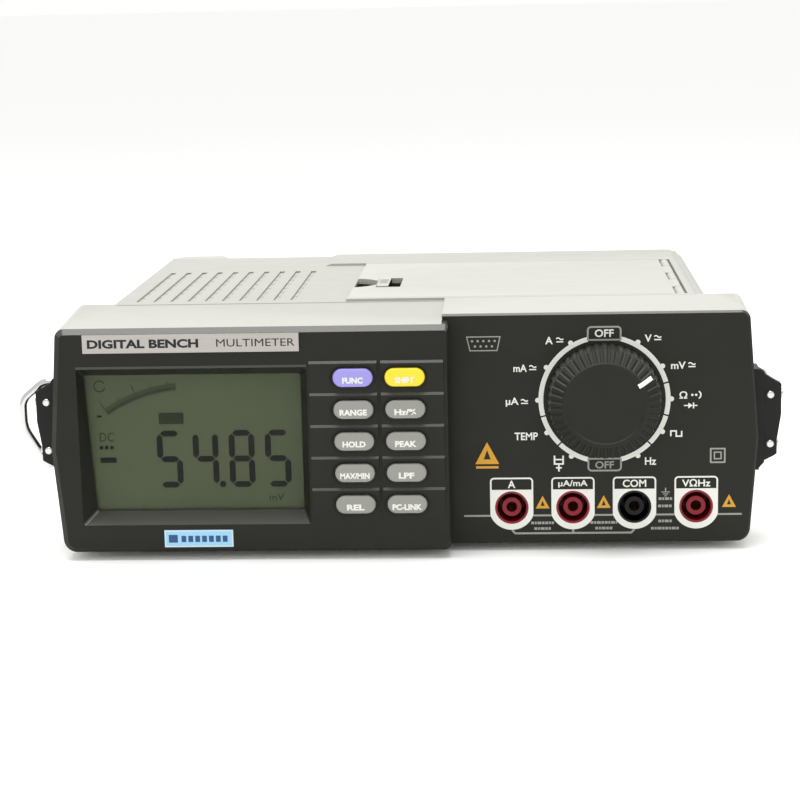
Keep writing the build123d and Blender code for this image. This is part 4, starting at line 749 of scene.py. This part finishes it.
SEGMENTS = {
    # segment: column and row of its two ends
    "a": (0, 2, 1, 2), "b": (1, 1, 1, 2), "c": (1, 0, 1, 1), "d": (0, 0, 1, 0),
    "e": (0, 0, 0, 1), "f": (0, 1, 0, 2), "g": (0, 1, 1, 1),
}
FIGURES = {"5": "afgcd", "4": "fgbc", "8": "abcdefg"}
FIGURE_W = 9.7
FIGURE_H = 22.0
SEGMENT_W = 2.3
FIGURE_X0 = -93.2
FIGURE_PITCH = 13.65
FIGURE_Z0 = 26.4
SEGMENT_GAP = 0.25        # from a segment's point to the figure's corner
POINT_AT = (-68.6, 27.6)
POINT_R = 1.25
LCD_INK_Y = LCD_Y - 0.03
LCD_INK_THICK = 0.03


def segment(x0, z0, x1, z1, width):
    """Bar with pointed ends between two corners of a figure."""
    length = math.hypot(x1 - x0, z1 - z0)
    ux, uz = (x1 - x0) / length, (z1 - z0) / length
    nx, nz = -uz * width / 2, ux * width / 2
    tip = width / 2
    a = (x0 + ux * SEGMENT_GAP, z0 + uz * SEGMENT_GAP)
    b = (x1 - ux * SEGMENT_GAP, z1 - uz * SEGMENT_GAP)
    a_in = (a[0] + ux * tip, a[1] + uz * tip)
    b_in = (b[0] - ux * tip, b[1] - uz * tip)
    return [a, (a_in[0] - nx, a_in[1] - nz), (b_in[0] - nx, b_in[1] - nz),
            b, (b_in[0] + nx, b_in[1] + nz), (a_in[0] + nx, a_in[1] + nz)]


def figure(digit, x, z):
    """One seven-segment figure."""
    half = SEGMENT_W / 2
    columns = (x + half, x + FIGURE_W - half)
    rows = (z + half, z + FIGURE_H / 2, z + FIGURE_H - half)
    return [segment(columns[c0], rows[r0], columns[c1], rows[r1], SEGMENT_W)
            for c0, r0, c1, r1 in (SEGMENTS[key] for key in FIGURES[digit])]


BAR_CENTRE = (-79.7, 7.6)
BAR_R = 58.0
BAR_A0 = 123.5
BAR_A1 = 95.6
BAR_TICKS = 44
BAR_TICK_R0 = BAR_R - 1.6
BAR_TICK_SHORT = 2.9
BAR_TICK_LONG = 4.1       # each tenth tick
BAR_TICK_END = 6.0        # the first tick and the middle one
BAR_TICK_LINE = 0.42


def bar_scale():
    """Arc of short ticks at the upper left."""
    cx, cz = BAR_CENTRE
    polygons = []
    for i in range(BAR_TICKS + 1):
        angle = math.radians(BAR_A0 + (BAR_A1 - BAR_A0) * i / BAR_TICKS)
        length = BAR_TICK_LONG if i % 10 == 0 else BAR_TICK_SHORT
        if i in (0, 20):
            length = BAR_TICK_END
        c, s = math.cos(angle), math.sin(angle)
        ends = [(cx + r * c, cz + r * s) for r in (BAR_TICK_R0, BAR_TICK_R0 + length)]
        polygons += stroke(ends, BAR_TICK_LINE)
    return polygons


LCD_MINUS = (-114.9, -108.7, 36.2, 38.3)
LCD_DASH = (-115.4, -113.6, 53.7, 54.5)
LCD_DOTS_X = (-114.9, -112.9, -110.9)
LCD_DOTS_Z = (41.4, 42.8)
LCD_DOT = 1.3
LCD_BLOCK = (-92.0, -82.6, 50.9, 55.3)
LCD_RING_AT = (-113.9, 65.6)


def display_content():
    """Reading and signs on the liquid crystal panel."""
    y = LCD_INK_Y
    polygons = []
    for index, digit in enumerate("5485"):
        polygons += figure(digit, FIGURE_X0 + FIGURE_PITCH * index, FIGURE_Z0)
    polygons.append(disc(*POINT_AT, POINT_R))
    flat_piece("lcd_reading", polygons, y, "segment", LCD_INK_THICK)
    flat_piece("lcd_bar_ticks", bar_scale(), y, "segment_dim", LCD_INK_THICK)
    line = arc(*BAR_CENTRE, BAR_R - 1.0, BAR_R - 0.3, BAR_A1, BAR_A0, 60)
    flat_piece("lcd_bar_line", line, y - 0.04, "segment_dim", LCD_INK_THICK / 2)
    signs = [rect(*LCD_MINUS), rect(*LCD_DASH)]
    signs += [rect(x, x + LCD_DOT, *LCD_DOTS_Z) for x in LCD_DOTS_X]
    flat_piece("lcd_signs", signs, y, "segment", LCD_INK_THICK)
    flat_piece("lcd_block", [rect(*LCD_BLOCK)], y, "segment_half", LCD_INK_THICK)
    ring = arc(*LCD_RING_AT, 1.8, 2.3, 30, 350, 24)
    flat_piece("lcd_ring", ring, y, "segment_dim", LCD_INK_THICK)
    lettering("lcd_auto", "AUTO", -87.3, 53.1, 8.0, 2.4, y - 0.02, "segment_dim")
    lettering("lcd_dc", "DC", -112.0, 46.1, 5.6, 3.6, y - 0.005, "segment_dim", weight=0.01)
    lettering("lcd_mv", "mV", -48.4, 22.4, 5.6, 2.8, y - 0.005, "segment_half", weight=0.01)


# ---------------------------------------------------------------- keys, strip and sticker

KEY_WORDS = {
    # key: words, width
    "key_a1": ("FUNC", 7.6), "key_a2": ("RANGE", 10.2), "key_a3": ("HOLD", 8.6), "key_a4": ("MAX/MIN", 11.0),
    "key_a5": ("REL", 6.6), "key_b1": ("SHIFT", 7.2), "key_b2": ("Hz/%", 8.0), "key_b3": ("PEAK", 8.0),
    "key_b4": ("LPF", 5.8), "key_b5": ("PC-LINK", 11.0),
}
KEY_WORD_DOWN = 0.9
KEY_WORD_H = 2.3


def key_words():
    """Function words on the lower half of each key."""
    for key, (words, width) in KEY_WORDS.items():
        low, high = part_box(key)
        x = (low.x + high.x) / 2 / MM
        z = (low.z + high.z) / 2 / MM - KEY_WORD_DOWN
        lettering("word_" + key, words, x, z, width, KEY_WORD_H, low.y / MM - FITTING_LIFT, "ink", key,
                  weight=0.045)


def strip_and_sticker():
    """Generic words on the strip, plain bands on the sticker."""
    low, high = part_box("name_strip")
    x0, x1 = low.x / MM, high.x / MM
    z = (low.z + high.z) / 2 / MM
    y = low.y / MM - FITTING_LIFT
    lettering("strip_words_left", "DIGITAL BENCH", x0 + 22.6, z, 41.5, 3.3, y, "ink_dark", weight=0.04)
    lettering("strip_words_right", "MULTIMETER", x1 - 16.0, z, 29.0, 2.8, y, "ink_dark")
    low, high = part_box("sticker")
    x0, x1, z0, z1 = low.x / MM, high.x / MM, low.z / MM, high.z / MM
    y = low.y / MM - FITTING_LIFT
    border = outline(x0 + 0.15, x1 - 0.15, z0 + 0.15, z1 - 0.15, [0.3] * 4, 0.35)
    flat_piece("sticker_border", border, y, "ink")
    bars = [rect(x0 + 1.6, x0 + 5.0, z0 + 1.8, z1 - 1.8)]
    bars += [rect(x0 + 6.4 + 2.6 * i, x0 + 8.2 + 2.6 * i, z0 + 2.0, z1 - 2.2) for i in range(7)]
    flat_piece("sticker_bars", bars, y, "ink_blue")


# ---------------------------------------------------------------- fittings

CAP_X0 = -13.5            # cap of the latch's bar, and the grip ridges on it
CAP_W = 4.7
CAP_THICK = 0.5
CAP_UP = 0.2              # cap's middle above the lid
CAP_EDGE = 0.15
RIDGES = 5
RIDGE_PITCH = 2.4
RIDGE_SHARE = 0.7         # of the cap's width
RIDGE_DEPTH = 0.8
RIDGE_H = 0.4
RIDGE_UP = 0.5


def box_at(work, centre, size):
    """Add a box of a size around a centre, in millimetres."""
    made = bmesh.ops.create_cube(work, size=1.0)
    place = Matrix.Translation(Vector(centre) * MM) @ Matrix.Diagonal((*(Vector(size) * MM), 1.0))
    bmesh.ops.transform(work, matrix=place, verts=made["verts"])


def latch_bar():
    """Light ridged cap on the latch's bar."""
    low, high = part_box("hatch_latch")
    lid_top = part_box("hatch_lid")[1].z / MM
    x, y = CAP_X0 + CAP_W / 2, (low.y + high.y) / 2 / MM
    work = bmesh.new()
    box_at(work, (x, y, lid_top + CAP_UP), (CAP_W, (high.y - low.y) / MM, CAP_THICK))
    bmesh.ops.bevel(work, geom=work.edges[:], offset=CAP_EDGE * MM, segments=2, affect="EDGES")
    for i in range(RIDGES):
        centre = (x, y + (i - (RIDGES - 1) / 2) * RIDGE_PITCH, lid_top + RIDGE_UP)
        box_at(work, centre, (CAP_W * RIDGE_SHARE, RIDGE_DEPTH, RIDGE_H))
    mesh = bpy.data.meshes.new("latch_bar_cap")
    work.to_mesh(mesh)
    work.free()
    add_piece("latch_bar_cap", mesh, "lid", "hatch_latch")


VENTS = 10
VENT_X0 = -104.9
VENT_PITCH = 6.73
VENT_Y = (36.6, 121.4)
HATCH_PROUD = 1.0         # highest point of the top cover above its vented top
LOUVRE_DOWN = 0.5         # louvre's crest below the vented top
LOUVRE_BARS = 7
LOUVRE_GAP = 0.8
LOUVRE_HALF = 1.0
LOUVRE_CREST = 0.5        # half of the flat along a louvre's crest
LOUVRE_SLOPE = 0.15
LOUVRE_DEEP = 1.0


def louvres():
    """Low ridged bars inside the vent slots of the top cover."""
    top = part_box("top_cover")[1].z / MM - HATCH_PROUD - LOUVRE_DOWN
    pitch = (VENT_Y[1] - VENT_Y[0]) / LOUVRE_BARS
    right = [(LOUVRE_CREST, 0.0), (LOUVRE_HALF, -LOUVRE_SLOPE), (LOUVRE_HALF, -LOUVRE_DEEP)]
    section = [(-dx, dz) for dx, dz in reversed(right)] + right
    work = bmesh.new()
    for column in range(VENTS):
        x = VENT_X0 + VENT_PITCH * column
        for row in range(LOUVRE_BARS):
            y0 = VENT_Y[0] + pitch * row + LOUVRE_GAP / 2
            y1 = y0 + pitch - LOUVRE_GAP
            front = [work.verts.new(Vector((x + dx, y0, top + dz)) * MM) for dx, dz in section]
            back = [work.verts.new(Vector((x + dx, y1, top + dz)) * MM) for dx, dz in section]
            work.faces.new(front[::-1])
            work.faces.new(back)
            for i in range(len(section)):
                j = (i + 1) % len(section)
                work.faces.new((front[i], front[j], back[j], back[i]))
    bmesh.ops.recalc_face_normals(work, faces=work.faces)
    mesh = bpy.data.meshes.new("vent_louvres")
    work.to_mesh(mesh)
    work.free()
    add_piece("vent_louvres", mesh, "louvre")


# ---------------------------------------------------------------- stage

CAMERA_AT = (45.0, -770.0, 208.0)     # millimetres, with angles in degrees
CAMERA_YAW = -3.44
CAMERA_PITCH = 10.97
CAMERA_ROLL = -1.29
CAMERA_LENS = 94.5


def camera():
    """Camera at the fitted place and angle."""
    yaw, pitch, roll = (math.radians(v) for v in (CAMERA_YAW, CAMERA_PITCH, CAMERA_ROLL))
    ahead = Vector((math.sin(yaw) * math.cos(pitch), math.cos(yaw) * math.cos(pitch), -math.sin(pitch)))
    right = Vector((math.cos(yaw), -math.sin(yaw), 0.0))
    up = right.cross(ahead)
    right_rolled = right * math.cos(roll) + up * math.sin(roll)
    up_rolled = up * math.cos(roll) - right * math.sin(roll)
    data = bpy.data.cameras.new("camera")
    data.sensor_width = 36.0
    data.lens = CAMERA_LENS
    data.clip_start = 0.01
    data.clip_end = 50.0
    made = bpy.data.objects.new("camera", data)
    bpy.context.scene.collection.objects.link(made)
    turn = Matrix((right_rolled, up_rolled, -ahead)).transposed()
    made.matrix_world = Matrix.Translation(Vector(CAMERA_AT) * MM) @ turn.to_4x4()
    bpy.context.scene.camera = made


def area_light(name, place, target, size_x, size_y, radiance):
    """Rectangular soft box whose surface has a set brightness."""
    data = bpy.data.lights.new(name, "AREA")
    data.shape = "RECTANGLE"
    data.size, data.size_y = size_x, size_y
    data.energy = radiance * math.pi * size_x * size_y
    light = bpy.data.objects.new(name, data)
    bpy.context.scene.collection.objects.link(light)
    light.location = place
    aim = Vector(target) - Vector(place)
    light.rotation_mode = "QUATERNION"
    light.rotation_quaternion = aim.to_track_quat("-Z", "Y")


FLOOR_HALF = 30.0                     # metres, as are the places and sizes of the soft box
SKY = (1.0, 1.0, 0.99, 1.0)
LIGHT_AT = (-0.05, 0.0, 1.15)
LIGHT_AIM = (-0.05, 0.0, 0.05)
LIGHT_SIZE = (0.95, 0.6)
LIGHT_RADIANCE = 6.6


def stage():
    """Pale floor, even white surroundings and one soft box overhead."""
    mesh = bpy.data.meshes.new("floor")
    corners = [(x * FLOOR_HALF, y * FLOOR_HALF, 0) for x, y in ((-1, -1), (1, -1), (1, 1), (-1, 1))]
    mesh.from_pydata(corners, [], [(0, 1, 2, 3)])
    mesh.materials.append(MATERIALS["backdrop"])
    floor = bpy.data.objects.new("floor", mesh)
    bpy.context.scene.collection.objects.link(floor)
    world = bpy.data.worlds.new("surroundings")
    world.use_nodes = True
    sky = world.node_tree.nodes["Background"]
    sky.inputs["Color"].default_value = SKY
    sky.inputs["Strength"].default_value = 1.0
    bpy.context.scene.world = world
    area_light("overhead", LIGHT_AT, LIGHT_AIM, *LIGHT_SIZE, LIGHT_RADIANCE)
    bpy.context.scene.view_settings.view_transform = "Standard"


camera()
stage()
paint_nodes()
range_scale()
scale_words()
jack_print()
plain_marks()
display_content()
key_words()
strip_and_sticker()
latch_bar()
louvres()
